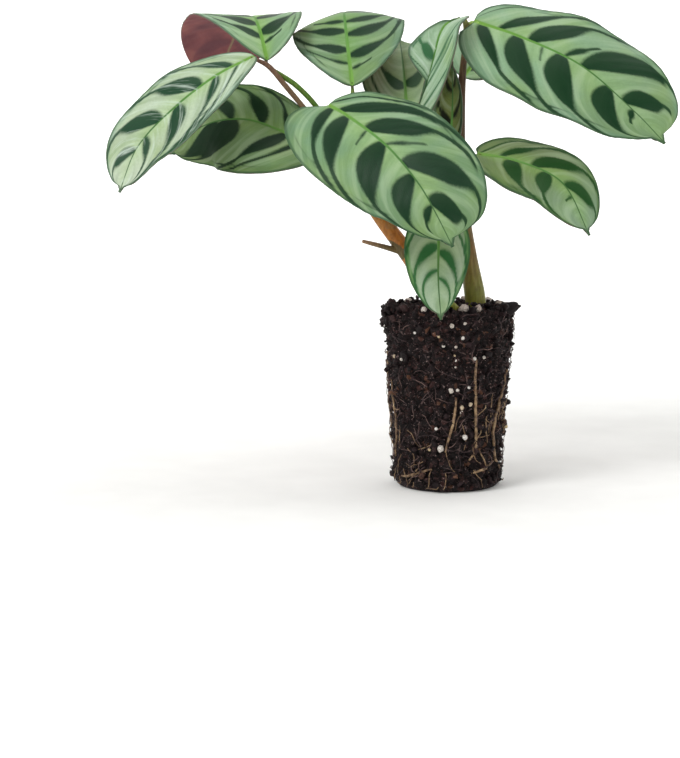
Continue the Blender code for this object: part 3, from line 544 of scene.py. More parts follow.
LEAVES = {
    "leaf_right": dict(
        spine=[(6.6, 2.0, 127.6), (19.7, 0.0, 123.1), (35.4, -4.0, 115.5), (49.6, -9.0, 103.0),
               (57.0, -12.6, 95.0)],
        face=[(0.2, -0.75, 0.6), (0.25, -0.8, 0.55), (0.3, -1.0, 0.2)],
        halves=(18.0, 19.2), shoulder=(1.34, 0.69), blunt=(0.34, 0.55), drip=(0.04, 0.05), lobe=(1.0, 5.5),
        fold=[8, 6, 4], curl=[-10, -14, -10], wave=0.7, ripples=3.0,
        feathers=([(-0.10, 0.25, 1.0), (0.11, 0.8, 1.2), (0.26, 1.25, 1.0), (0.42, 0.45, 0.5),
                   (0.515, 1.45, 1.3), (0.745, 1.2, 0.75)],
                  [(0.04, 0.95, 1.0), (0.20, 1.35, 1.05), (0.315, 0.2, 0.3), (0.41, 1.55, 1.05),
                   (0.66, 1.4, 1.0), (0.80, 0.5, 0.4)]),
        lean=((0.19, 0.05, 0.12), (0.06, 0.30, 0.06)), swell=(0.45, 0.42),
        tones=("#83A382", "#6F8A64", "#8DAE70", "#10331A", "#6C8C70")),
    "leaf_centre_front": dict(
        spine=[(-33.2, -8.0, 105.1), (-27.7, -16.0, 102.1), (-17.5, -27.0, 94.5), (-9.6, -34.0, 85.2),
               (-5.5, -37.0, 78.2), (-0.9, -38.0, 69.2)],
        face=[(-0.1, -0.7, 0.7), (-0.06, -0.92, 0.36), (-0.1, -1.0, 0.0)],
        halves=(16.7, 19.2), shoulder=(1.75, 0.69), blunt=(0.25, 0.58), drip=(0.04, 0.04), lobe=(1.0, 10.5),
        fold=[14, 6, 4], curl=[-8, -10, -8], wave=0.6, ripples=2.5,
        feathers=([(-0.10, 0.50, 1.0), (0.09, 1.1, 1.3), (0.30, 1.3, 0.95), (0.43, 0.30, 0.5),
                   (0.565, 1.4, 1.0), (0.78, 1.2, 0.6)],
                  [(0.045, 0.8, 1.0), (0.165, 1.1, 1.05), (0.305, 0.25, 0.3), (0.42, 1.4, 1.05),
                   (0.64, 1.25, 1.0), (0.80, 0.55, 0.6)]),
        lean=((0.25, 0.06, 0.30), (0.10, 0.24, 0.12)), swell=(0.45, 0.42),
        tones=("#6E8F6C", "#6A8660", "#92B270", "#10301A", "#5F7E5E")),
    "leaf_left": dict(
        spine=[(-53.2, -0.5, 118.2), (-63.3, -8.0, 112.9), (-74.2, -15.0, 104.4), (-83.4, -21.0, 94.3),
               (-88.0, -25.0, 82.6)],
        face=[(-0.1, -0.6, 0.8), (-0.1, -0.75, 0.63), (-0.3, -0.85, 0.4)],
        halves=(9.8, 10.7), shoulder=(1.10, 1.14), blunt=(0.48, 0.44), drip=(0.03, 0.03), lobe=(0.2, 0.2),
        fold=[14, 6, 4], curl=[-8, -10, -6], wave=0.5, ripples=2.5,
        feathers=([(0.10, 0.5, 1.0), (0.24, 1.0, 1.0), (0.49, 1.5, 1.0), (0.71, 0.9, 0.8)],
                  [(0.135, 1.2, 1.0), (0.345, 2.1, 1.0), (0.60, 1.9, 1.0), (0.79, 1.1, 0.9)]),
        # Its tones are painted pale, and its pale streaks are at full strength: both stand in for the sheen
        # of light on it.
        lean=((0.14, 0.20, 0.30), (0.12, 0.08, 0.12)), swell=(0.38, 0.42), painted_sheen=1.0,
        tones=("#B0C0A6", "#B8C4AE", "#A6C288", "#1C4029", "#9AB2A0")),
    "leaf_upper_left": dict(
        spine=[(-50.0, 4.0, 117.2), (-52.5, 13.0, 126.0), (-55.0, 24.0, 129.6), (-59.5, 36.0, 126.0),
               (-64.0, 45.0, 117.0), (-67.5, 49.0, 106.0)],
        face=[(0.0, -0.75, 0.6), (-0.05, 0.3, 1.0), (-0.3, 0.9, 0.3)],
        halves=(17.5, 14.0), shoulder=(1.12, 0.86), blunt=(0.66, 0.60), drip=(0.04, 0.04), lobe=(0.0, 0.0),
        fold=[18, 0, 0], curl=[0, -4, -6], wave=0.5, ripples=2.5,
        feathers=([(0.135, 0.75, 0.9), (0.235, 1.05, 0.9), (0.33, 0.80, 0.9), (0.50, 0.9, 1.0),
                   (0.68, 0.8, 1.0)],
                  [(0.095, 0.4, 0.6), (0.165, 1.30, 1.0), (0.30, 1.05, 1.0), (0.50, 0.9, 1.0),
                   (0.68, 0.8, 1.0)]),
        lean=((0.10, 0.04, 0.10), (0.05, 0.14, 0.10)), swell=(0.44, 0.44),
        tones=("#7E9E78", "#789A74", "#84AC50", "#12321A", "#7E9E80")),
    "leaf_upper_middle": dict(
        spine=[(-26.6, 5.0, 110.2), (-27.8, 13.0, 120.5), (-28.8, 25.0, 130.0), (-28.4, 40.0, 129.6),
               (-27.5, 55.0, 119.0)],
        face=[(0.0, -0.8, 0.6), (-0.15, -0.15, 1.0), (-0.1, 0.6, 0.8)],
        halves=(15.5, 17.0), shoulder=(0.86, 0.86), blunt=(0.78, 0.78), drip=(0.04, 0.04), lobe=(1.0, 1.0),
        fold=[12, -4, -6], curl=[-6, -12, -10], wave=0.5, ripples=2.5,
        feathers=([(0.12, 0.36, 0.9), (0.20, 0.85, 1.0), (0.32, 0.80, 0.95), (0.39, 0.5, 0.6),
                   (0.52, 0.8, 1.0), (0.68, 0.7, 1.0)],
                  [(0.09, 0.3, 0.6), (0.165, 0.80, 1.0), (0.295, 0.80, 1.0), (0.385, 0.6, 0.9),
                   (0.50, 0.8, 1.0), (0.66, 0.7, 1.0)]),
        lean=((0.02, 0.12, 0.06), (0.03, 0.14, 0.20)), swell=(0.40, 0.44),
        tones=("#6E8C66", "#5E7C62", "#6E9A48", "#11301A", "#66866E")),
    "leaf_middle_back": dict(
        spine=[(-11.2, 9.0, 99.6), (-11.7, 17.0, 109.0), (-12.2, 28.0, 117.5), (-12.6, 42.0, 123.2)],
        face=[(0.0, -0.8, 0.6), (0.0, -0.6, 0.8), (0.0, -0.3, 0.95)],
        halves=(12.0, 12.0), shoulder=(0.90, 0.90), blunt=(0.60, 0.60), drip=(0.04, 0.04), lobe=(1.5, 1.5),
        fold=[12, 6, 4], curl=[-6, -8, -6], wave=0.4, ripples=2.0,
        feathers=([(-0.15, 0.4, 1.0), (0.34, 1.25, 0.7)], [(-0.15, 0.4, 1.0), (0.36, 1.25, 0.7)]),
        lean=((0.0, 1.3, 0.0), (0.0, 1.3, 0.0)), swell=(0.36, 0.36),
        # Its tones are painted lighter, to lift it out of the shade it lies in.
        tones=("#869C7A", "#829A74", "#82A266", "#1A421E", "#6E8A5C")),
    "leaf_folded": dict(
        spine=[(2.8, 1.0, 128.5), (-1.3, -2.4, 126.5), (-3.1, -3.8, 123.6), (-4.2, -5.2, 119.6),
               (-5.5, -6.0, 114.6), (-6.8, -6.1, 110.0), (-8.3, -6.0, 105.6), (-9.8, -5.6, 101.2),
               (-11.0, -5.0, 97.6)],
        face=[(-0.45, -0.6, 0.65), (-0.45, -0.87, 0.2), (-0.45, -0.87, 0.1)],
        halves=(8.6, 7.2), shoulder=(0.80, 1.60), blunt=(0.38, 1.30), drip=(0.04, 0.38), lobe=(0.2, 0.2),
        fold=[20, 28, 28], curl=[0, 0, 0], wave=0.3, ripples=2.0,
        feathers=([(0.57, 0.5, 0.9), (0.66, 0.4, 0.8), (0.94, 0.5, 0.9)],
                  [(0.43, 1.6, 0.9), (0.60, 0.4, 1.0)]),
        # Its pale streaks are a painted sheen.
        lean=((-0.50, 0.0, 0.0), (-0.14, 0.0, 0.0)), swell=(0.5, 0.4), painted_sheen=0.8,
        tones=("#8CA88A", "#98B698", "#B4CCB0", "#34623E", "#86A488")),
    "leaf_right_mid": dict(
        spine=[(7.2, -4.2, 91.9), (17.8, -8.0, 90.1), (29.5, -14.0, 84.5), (36.2, -21.0, 71.0)],
        face=[(0.1, -0.75, 0.7), (0.2, -0.75, 0.6), (0.4, -0.85, 0.3)],
        halves=(10.2, 11.0), shoulder=(1.10, 1.04), blunt=(0.48, 0.50), drip=(0.05, 0.05), lobe=(3.0, 6.0),
        fold=[14, 6, 4], curl=[-6, -10, -6], wave=0.5, ripples=2.0,
        feathers=([(-0.03, 0.45, 1.0), (0.15, 0.95, 1.0), (0.385, 1.6, 1.0), (0.63, 1.35, 0.95)],
                  [(0.245, 1.7, 1.0), (0.49, 1.6, 0.95), (0.72, 0.4, 0.3)]),
        lean=((0.22, 0.09, 0.12), (0.05, 0.25, 0.20)), swell=(0.44, 0.38),
        # Its tones are partly painted shade: duller and more olive than on the leaves in full light.
        tones=("#6C7E52", "#7A9276", "#7CA44A", "#1D441C", "#4C6C30")),
    "leaf_left_back": dict(
        spine=[(-36.4, 2.0, 93.6), (-45.0, 2.5, 97.4), (-56.0, 4.0, 101.0), (-67.0, 6.0, 99.5),
               (-78.0, 8.0, 91.5)],
        face=[(0.0, -0.7, 0.7), (0.0, -0.75, 0.65), (-0.2, -0.8, 0.55)],
        halves=(18.5, 12.5), shoulder=(0.92, 0.92), blunt=(0.56, 0.56), drip=(0.04, 0.04), lobe=(4.0, 3.0),
        fold=[12, 6, 4], curl=[-6, -8, -6], wave=0.5, ripples=2.0,
        feathers=([(0.06, 0.45, 1.0), (0.19, 0.85, 1.0), (0.55, 2.0, 1.0), (0.66, 1.6, 1.0)],
                  [(0.19, 0.6, 1.0), (0.355, 1.1, 1.0), (0.54, 1.0, 1.0), (0.74, 0.8, 1.0)]),
        lean=((0.20, 0.20, 0.10), (0.10, 0.08, 0.10)), swell=(0.42, 0.42),
        # Its tones are painted darker olive for the shade it lies in under leaf_left.
        tones=("#6E8E5E", "#62764A", "#6E9048", "#122E18", "#5A7844")),
    "leaf_small_front": dict(
        spine=[(-3.7, -14.6, 77.0), (-3.7, -18.0, 69.0), (-3.8, -20.4, 59.0), (-3.0, -21.0, 48.4)],
        face=[(0.0, -0.95, 0.3), (0.0, -1.0, 0.1), (0.0, -1.0, 0.0)],
        halves=(8.5, 9.2), shoulder=(0.72, 0.72), blunt=(0.58, 0.58), drip=(0.05, 0.05), lobe=(1.0, 1.0),
        fold=[16, 10, 6], curl=[-6, -10, -6], wave=0.4, ripples=2.0,
        feathers=([(-0.02, 0.6, 1.0), (0.385, 1.1, 1.0), (0.62, 0.6, 0.8)],
                  [(-0.02, 0.6, 1.0), (0.335, 1.2, 1.0), (0.55, 0.6, 0.9)]),
        lean=((0.12, 0.55, 0.0), (0.10, 0.38, 0.0)), swell=(0.36, 0.36),
        tones=("#90A68A", "#9CB096", "#8CAA7C", "#2A5E30", "#4C8E3A")),
    "leaf_centre_shaded": dict(
        spine=[(-0.6, 3.0, 90.0), (0.6, 4.0, 97.8), (1.0, 4.6, 108.0), (0.6, 4.8, 116.8)],
        face=[(-0.35, -0.9, 0.1), (-0.4, -0.9, 0.05), (-0.4, -0.9, 0.0)],
        halves=(5.2, 3.6), shoulder=(0.90, 0.90), blunt=(0.62, 0.62), drip=(0.05, 0.05), lobe=(0.5, 0.5),
        fold=[20, 14, 10], curl=[0, 0, 0], wave=0.3, ripples=2.0,
        feathers=([(0.05, 1.2, 1.0), (0.38, 1.6, 1.0), (0.70, 1.2, 1.0)],
                  [(0.10, 1.2, 1.0), (0.44, 1.6, 1.0), (0.74, 1.2, 1.0)]),
        lean=((0.10, 0.22, 0.10), (0.10, 0.22, 0.10)), swell=(0.4, 0.4),
        # Its tones are painted dark olive for the deep shade it hangs in behind leaf_centre_front.
        tones=("#4E5018", "#3A4612", "#5E661C", "#10170A", "#38441A")),
    "leaf_back": dict(
        spine=[(4.4, 14.0, 112.6), (12.0, 24.0, 120.5), (23.0, 38.0, 121.0), (34.0, 52.0, 111.0)],
        face=[(0.2, -0.6, 0.8), (0.3, 0.1, 0.95), (0.45, 0.5, 0.75)],
        halves=(13.0, 13.0), shoulder=(0.86, 0.86), blunt=(0.62, 0.62), drip=(0.04, 0.04), lobe=(1.5, 1.5),
        fold=[12, 6, 4], curl=[-6, -8, -6], wave=0.5, ripples=2.0,
        feathers=(PLAIN_RIGHT, PLAIN_LEFT),
        lean=((0.10, 0.16, 0.10), (0.10, 0.16, 0.10)), swell=(0.42, 0.42),
        tones=("#86AA86", "#789A74", "#8CB074", "#12301C", "#7C9E86")),
}
BLADE_THICKNESS = 0.36
BLADE_BASE_HALF = 0.6
BLADE_TIP_HALF = 0.35
TIP_TAIL = 0.10              # the drawn-out tip's half width at its start, as a share of the widest
ROW_LENGTH = 0.42            # of the grid's faces along the midrib, mm
COLUMN_WIDTH = 0.45          # and across it
MIDRIB_WIDTH = 1.4           # at the base, mm
MIDRIB_GROOVE = 0.28
MIDRIB_KEEL = 0.55           # how far the midrib stands out underneath, mm
FEATHER_WIDTH = 5.6          # of a full-size feather on a blade 34 mm wide, mm
FEATHER_BODY = 0.92          # where its body has thinned to a line, as a share of its reach
FEATHER_LINE = 0.60          # the soft line that a feather thins to: its spread to each side, mm
FEATHER_FOOT = 0.10          # how far along its swell a feather already is where it leaves the midrib
FEATHER_TAPER = 2.0          # above 1 its outer part is drawn in towards the line
FEATHER_SINK = 0.08          # how deep the dark tissue lies below the ground, mm
BODY_FADE = (0.84, 0.96)     # where a body fades out towards the margin, as shares of the half width
LINE_FADE = 0.95             # where its line fades out, as a share of its reach
FEATHER_START = 0.1          # a body shows where it is at least twice this wide, mm
MARGIN_LINE = 2.1            # a faint dark line runs this far inside the margin, mm
MARGIN_LINE_SPREAD = 0.45    # to each side, mm
PUCKER = 0.35                # broad unevenness at the margin, mm
CORRUGATION = 0.05           # soft ribs along the nerves: half their height, mm
CORRUGATION_STEP = 3.1       # from one soft rib to the next, mm
NERVE_STEP = 0.55            # from one fine cross nerve to the next, mm
FULL_HALF = 17.0
MARKS = ("feather_mm", "line", "edge_mm", "rib_mm", "nerve_mm", "side_mm", "along", "painted_sheen")


def outline(t, shoulder, blunt, drip):
    """Half width of a blade at t along its midrib, 1 at the widest: round base, drawn-out tip."""
    body = math.sin(math.pi * min(t / (1.0 - drip), 1.0) ** shoulder) ** blunt
    tail = TIP_TAIL * (1.0 - t) / drip if t > 0.5 else 0.0
    return max(body, min(tail, TIP_TAIL))


def feather_at(leaf, half, s, t, length, width):
    """The dark feathers at a point: how deep it lies in a body (mm, negative on the pale ground), how
    much of a feather's thin line covers it (0 to 1), and how near the tip's side of the body it lies."""
    slant, bend, tail = leaf["lean"][half]
    slope = (slant + 3.0 * bend * s * s + 8.0 * tail * s ** 7) * length / width
    straight = 1.0 / math.sqrt(1.0 + slope * slope)
    scale = min(width / FULL_HALF, 1.0)
    power = math.log(0.5) / math.log(leaf["swell"][half] / FEATHER_BODY)
    sweep = slant * s + bend * s ** 3 + tail * s ** 8
    deepest = -9.0
    line = 0.0
    tipward = 0.0
    for start, size, reach in leaf["feathers"][half]:
        out = s / reach
        if out > 1.0:
            continue
        away = (t - start - sweep) * length * straight
        body = FEATHER_FOOT + (1.0 - FEATHER_FOOT) * min(out / FEATHER_BODY, 1.0) ** power
        swell = math.sin(math.pi * body)
        if body > 0.5:
            swell **= FEATHER_TAPER
        bulge = FEATHER_WIDTH * size * scale * swell
        bulge *= 1.0 - smooth(*BODY_FADE, s)
        thread = math.exp(-(away / (FEATHER_LINE * (0.45 + 0.55 * scale))) ** 2)
        thread *= 1.0 - smooth(LINE_FADE, 1.0, out)
        line = max(line, thread * min(0.4 + size, 1.0))
        depth = 0.5 * bulge - FEATHER_START - abs(away)
        if depth > deepest:
            deepest = depth
            tipward = away / max(0.5 * bulge, 0.4)
    return deepest, line, tipward


def mixed(first, second, share):
    """Two colours mixed: the share is how much of the second there is."""
    return [a + (b - a) * share for a, b in zip(first, second)]


def blade(name, leaf, materials):
    """One blade: a grid laid along the midrib, given its thickness, a grooved midrib and a keel."""
    fine = even_path(leaf["spine"], 241)
    length = sum((q - p).length for p, q in zip(fine, fine[1:]))
    rows = int(length / ROW_LENGTH)
    columns = 2 * int(max(leaf["halves"]) / COLUMN_WIDTH)
    spine = even_path(leaf["spine"], rows + 1)
    bpy.ops.object.select_all(action="DESELECT")
    bpy.ops.mesh.primitive_grid_add(x_subdivisions=columns, y_subdivisions=rows, size=2.0,
                                    location=(0.0, 0.0, 0.0))
    piece = bpy.context.object
    mesh = piece.data
    seed = 3.0 * len(name) + leaf["spine"][0][0]
    values = {key: [] for key in MARKS}
    grounds = []
    darks = []
    base, tip, warm, dark, margin = [tone(code) for code in leaf["tones"]]
    frames = []
    for i, spot in enumerate(spine):
        t = i / rows
        along = (spine[min(i + 1, rows)] - spine[max(i - 1, 0)]).normalized()
        side = along.cross(smooth_path(leaf["face"], t)).normalized()
        frames.append((spot, along, side, side.cross(along).normalized()))
    for vert in mesh.vertices:
        i = min(max(round((vert.co.y + 1.0) / 2.0 * rows), 0), rows)
        spot, along, side, up = frames[i]
        t = i / rows
        across = vert.co.x
        half = 0 if across < 0.0 else 1
        sign = 2.0 * half - 1.0
        s = abs(across) ** 1.3
        share = outline(t, leaf["shoulder"][half], leaf["blunt"][half], leaf["drip"][half])
        width = max(share * leaf["halves"][half], BLADE_BASE_HALF if t < 0.5 else BLADE_TIP_HALF)
        reach = s * width
        angle = math.radians(ease(leaf["fold"], t) + ease(leaf["curl"], t) * s)
        phase = 1.5 if half else 0.4
        rise = leaf["wave"] * share * s * s * math.sin(2.0 * math.pi * leaf["ripples"] * t + phase)
        back = leaf["lobe"][half] * share ** 0.5 * s ** 2.5 * (1.0 - t) ** 4
        depth, line, tipward = feather_at(leaf, half, s, t, length, leaf["halves"][half])
        inset = MARGIN_LINE * min(leaf["halves"][half] / FULL_HALF, 1.0) - (1.0 - s) * width
        along_margin = math.exp(-(inset / MARGIN_LINE_SPREAD) ** 2)
        along_margin *= smooth(0.04, 0.16, t) * (1.0 - smooth(0.70, 0.90, t))
        along_margin *= 0.45 + 0.4 * noise.noise(Vector((t * 7.0, sign, seed)))
        line = max(line, along_margin)
        rib = MIDRIB_WIDTH / 2.0 * (0.22 + 0.78 * (1.0 - t) ** 1.3)
        rise -= MIDRIB_GROOVE * (1.0 - 0.6 * t) * math.exp(-(reach / 0.55) ** 2)
        rise -= FEATHER_SINK * smooth(-0.8, 0.8, depth)
        slant, bend = leaf["lean"][half][:2]
        nerve = (t - slant * s - bend * s ** 3) * length
        rise += PUCKER * s * noise.noise(Vector((t * 4.0, sign * s * 1.5, seed)))
        rise += CORRUGATION * math.sin(nerve * 2.0 * math.pi / CORRUGATION_STEP) * s
        flat = side * (sign * reach * math.cos(angle))
        place = spot + flat + up * (reach * math.sin(angle) + rise) - along * back
        vert.co = place * MM
        values["feather_mm"].append(depth)
        values["edge_mm"].append((1.0 - s) * width)
        values["line"].append(line)
        values["painted_sheen"].append(leaf.get("painted_sheen", 0.01))
        values["rib_mm"].append(rib - reach)
        values["nerve_mm"].append(nerve)
        values["side_mm"].append(sign * s * leaf["halves"][half])
        values["along"].append(t)
        ground = mixed(base, tip, smooth(0.25, 0.95, t))
        ground = mixed(ground, warm, 0.75 * (1.0 - smooth(0.0, 0.55, s)) * (1.0 - 0.6 * t))
        ground = mixed(ground, margin, smooth(0.80, 0.92, s))
        grounds.extend(ground)
        # Each feather is painted a touch lighter on its base side than on its tip side: a painted sheen.
        darks.extend(mixed(mixed(dark, ground, 0.03), dark, smooth(-0.9, 0.5, tipward)))
    for key, numbers in values.items():
        mesh.attributes.new(key, "FLOAT", "POINT").data.foreach_set("value", numbers)
    mesh.attributes.new("ground", "FLOAT_COLOR", "POINT").data.foreach_set("color", grounds)
    mesh.attributes.new("dark", "FLOAT_COLOR", "POINT").data.foreach_set("color", darks)
    count = len(mesh.vertices)
    for item in materials:
        mesh.materials.append(item)
    modify(piece, "SOLIDIFY", thickness=BLADE_THICKNESS * MM, offset=0.0,
           material_offset=1, material_offset_rim=2)
    sideways = piece.data.attributes["side_mm"].data
    travel = piece.data.attributes["along"].data
    normals = [vert.normal.copy() for vert in piece.data.vertices]
    for vert in list(piece.data.vertices)[count:]:
        middle = math.exp(-(sideways[vert.index].value / 0.6) ** 2)
        vert.co += normals[vert.index] * (MIDRIB_KEEL * MM * middle * (1.0 - 0.8 * travel[vert.index].value))
    pick(piece)
    bpy.ops.object.shade_smooth_by_angle(angle=math.radians(50.0))
    return piece


# The upper side: a living blade with a thin waxy skin, satin rather than shiny. Fine cross nerves show
# as faint streaks and ridges; on some leaves pale streaks along them are a painted sheen of light.
upper, tree, shader = new_material("leaf blade, upper side", Roughness=0.42, Specular_IOR_Level=0.13)
marks = {key: node(tree, "Attribute", {}, "Fac", attribute_name=key) for key in MARKS}
ground = node(tree, "Attribute", {}, "Color", attribute_name="ground")
dark = node(tree, "Attribute", {}, "Color", attribute_name="dark")
place = node(tree, "TexCoord", {}, "Object")
stretched = node(tree, "Math", {0: marks["side_mm"], 1: 0.16}, operation="MULTIPLY")
lengthwise = node(tree, "CombineXYZ", {0: marks["nerve_mm"], 1: stretched})
streaks = node(tree, "TexNoise", {"Vector": lengthwise, "Scale": 1.7, "Detail": 3.0, "Roughness": 0.6})
sheen_noise = node(tree, "TexNoise", {"Vector": lengthwise, "Scale": 0.42, "Detail": 4.0, "Roughness": 0.65})
swathes = node(tree, "TexNoise", {"Vector": lengthwise, "Scale": 0.26, "Detail": 1.5, "Roughness": 0.5})
cloud = node(tree, "TexNoise", {"Vector": place, "Scale": 90.0, "Detail": 2.0})
cells = node(tree, "TexNoise", {"Vector": place, "Scale": 1500.0, "Detail": 3.0, "Roughness": 0.6})
ragged = node(tree, "MapRange", {0: cells, 1: 0.3, 2: 0.7, 3: -0.12, 4: 0.12})
feather = node(tree, "Math", {0: marks["feather_mm"], 1: ragged}, operation="ADD")
inside = node(tree, "MapRange", {0: feather, 1: -0.50, 2: 0.65}, interpolation_type="SMOOTHSTEP")
line = node(tree, "MapRange", {0: marks["line"], 1: 0.20, 2: 0.75, 3: 0.0, 4: 0.95},
            interpolation_type="SMOOTHSTEP")
inside = node(tree, "Math", {0: inside, 1: line}, operation="MAXIMUM")
# Over the ground, in turn: what carries each cast, its two limits and how much shows at each, its colour.
for pattern, start, end, first, last, kind, code in [
        (streaks, 0.42, 0.72, 0.0, 0.10, "LINEAR", "#B4CEB0"),
        (streaks, 0.50, 0.28, 0.0, 0.12, "LINEAR", "#55784E"),
        (cloud, 0.46, 0.68, 0.0, 0.46, "LINEAR", "#83A058"),
        (cells, 0.35, 0.65, 0.16, 0.0, "LINEAR", "#5C7E58"),
        (swathes, 0.48, 0.68, 0.0, 0.26, "SMOOTHSTEP", "#B2C6A4"),
        (swathes, 0.52, 0.34, 0.0, 0.26, "SMOOTHSTEP", "#5E7C50")]:
    cast = node(tree, "MapRange", {0: pattern, 1: start, 2: end, 3: first, 4: last}, interpolation_type=kind)
    ground = node(tree, "Mix", {0: cast, 6: ground, 7: tone(code)}, 2, data_type="RGBA")
skin = node(tree, "Mix", {0: inside, 6: ground, 7: dark}, 2, data_type="RGBA")
rib_greens = [(0.0, "#74A048"), (0.35, "#5A8A42"), (0.60, "#446E38"), (0.85, "#3A5A36")]
rib_tone = node(tree, "ValToRGB", {0: marks["along"]}, stops=rib_greens)
on_rib = node(tree, "MapRange", {0: marks["rib_mm"], 1: -0.12, 2: 0.16}, interpolation_type="SMOOTHSTEP")
skin = node(tree, "Mix", {0: on_rib, 6: skin, 7: rib_tone}, 2, data_type="RGBA")
# Painted sheen: pale streaks along the nerves that stand in for highlights, as strong as each leaf's share.
painted_sheen_mask = node(tree, "MapRange", {0: sheen_noise, 1: 0.50, 2: 0.72, 3: 0.0, 4: 0.75},
               interpolation_type="SMOOTHSTEP")
painted_sheen_mask = node(tree, "Math", {0: painted_sheen_mask, 1: marks["painted_sheen"]}, operation="MULTIPLY")
skin = node(tree, "Mix", {0: painted_sheen_mask, 6: skin, 7: tone("#C4D4C6")}, 2, data_type="RGBA")
on_edge = node(tree, "MapRange", {0: marks["edge_mm"], 1: 0.90, 2: 0.30, 3: 0.0, 4: 0.75},
               interpolation_type="SMOOTHSTEP")
skin = node(tree, "Mix", {0: on_edge, 6: skin, 7: tone("#304E34")}, 2, data_type="RGBA")
tree.links.new(skin, shader.inputs["Base Color"])
ridge = node(tree, "Math", {0: marks["nerve_mm"], 1: 2.0 * math.pi / NERVE_STEP}, operation="MULTIPLY")
ridge = node(tree, "Math", {0: ridge}, operation="SINE")
relief = node(tree, "Math", {0: ridge, 1: 0.25, 2: cells}, operation="MULTIPLY_ADD")
relief = node(tree, "Math", {0: streaks, 1: 1.2, 2: relief}, operation="MULTIPLY_ADD")
bumps = node(tree, "Bump", {"Strength": 0.35, "Distance": 0.00006, "Height": relief})
tree.links.new(bumps, shader.inputs["Normal"])

# The underside: the same blade without the wax, wine purple over a faint shadow of the feathers.
under, tree, shader = new_material("leaf blade, purple underside", Roughness=0.55, Specular_IOR_Level=0.4)
marks = {key: node(tree, "Attribute", {}, "Fac", attribute_name=key) for key in
         ("feather_mm", "rib_mm", "nerve_mm")}
place = node(tree, "TexCoord", {}, "Object")
cloud = node(tree, "TexNoise", {"Vector": place, "Scale": 160.0, "Detail": 3.0})
wine = node(tree, "ValToRGB", {0: cloud}, stops=[(0.30, "#6A363C"), (0.50, "#7E4446"), (0.70, "#945A52")])
for mark, limit, most, code in [("feather_mm", 0.6, 0.45, "#552E3A"), ("rib_mm", 0.2, 0.8, "#8A7A58")]:
    cover = node(tree, "MapRange", {0: marks[mark], 1: -limit, 2: limit, 3: 0.0, 4: most},
                 interpolation_type="SMOOTHSTEP")
    wine = node(tree, "Mix", {0: cover, 6: wine, 7: tone(code)}, 2, data_type="RGBA")
tree.links.new(wine, shader.inputs["Base Color"])
ridge = node(tree, "Math", {0: marks["nerve_mm"], 1: 2.0 * math.pi / NERVE_STEP}, operation="MULTIPLY")
ridge = node(tree, "Math", {0: ridge}, operation="SINE")
bumps = node(tree, "Bump", {"Strength": 0.5, "Distance": 0.00005, "Height": ridge})
tree.links.new(bumps, shader.inputs["Normal"])

# The margin: a thin, hard, brownish rim.
rim, tree, shader = new_material("leaf margin", Roughness=0.5)
place = node(tree, "TexCoord", {}, "Object")
cloud = node(tree, "TexNoise", {"Vector": place, "Scale": 300.0, "Detail": 2.0})
brown = node(tree, "ValToRGB", {0: cloud}, stops=[(0.35, "#46583E"), (0.65, "#5C4C42")])
tree.links.new(brown, shader.inputs["Base Color"])

for name, leaf in LEAVES.items():
    dress(blade(name, leaf, [upper, under, rim]), name + "_blade", [], "leaf", name)


# Shoots. Two shoots come out of the peat: each a short stalk wrapped in the sheaths of its leaf
# stalks, then the leaf stalks themselves, which thin out below the blade. The left one also carries the
# dead stub of an old leaf stalk and, at its foot, a yellow-green bud.

RIGHT_STALK = [(7.9, 0.0, 42.5), (7.5, 0.0, 51.0), (5.6, 0.6, 62.6), (4.2, 2.0, 74.0), (3.3, 4.6, 90.0),
               (3.4, 6.8, 104.0), (3.8, 6.6, 114.0), (4.6, 4.4, 123.0)]
RIGHT_RADII = [2.9, 2.9, 2.3, 1.7, 1.5, 1.3, 1.1, 0.8]
LEFT_STALK = [(1.4, -4.4, 43.4), (-3.2, -4.3, 51.4), (-11.4, -4.0, 64.4), (-19.6, -2.6, 75.6),
              (-27.6, 0.0, 88.0), (-32.8, 2.0, 96.5)]
LEFT_RADII = [2.2, 2.2, 2.3, 2.1, 1.8, 1.5]
STUB = [(-12.6, -4.0, 65.0), (-17.7, -5.2, 66.6), (-24.0, -6.0, 68.3)]
STUB_RADII = [0.9, 0.75, 0.55]
BUD = [(1.6, -6.0, 44.0), (1.4, -11.4, 49.6), (-0.2, -13.2, 52.2)]
BUD_RADII = [1.9, 1.8, 0.9]
PETIOLE_RADIUS = 0.78
PETIOLE_THINS = 0.45         # by this share, over its last fifth
SHOOT_VOXEL = 0.24

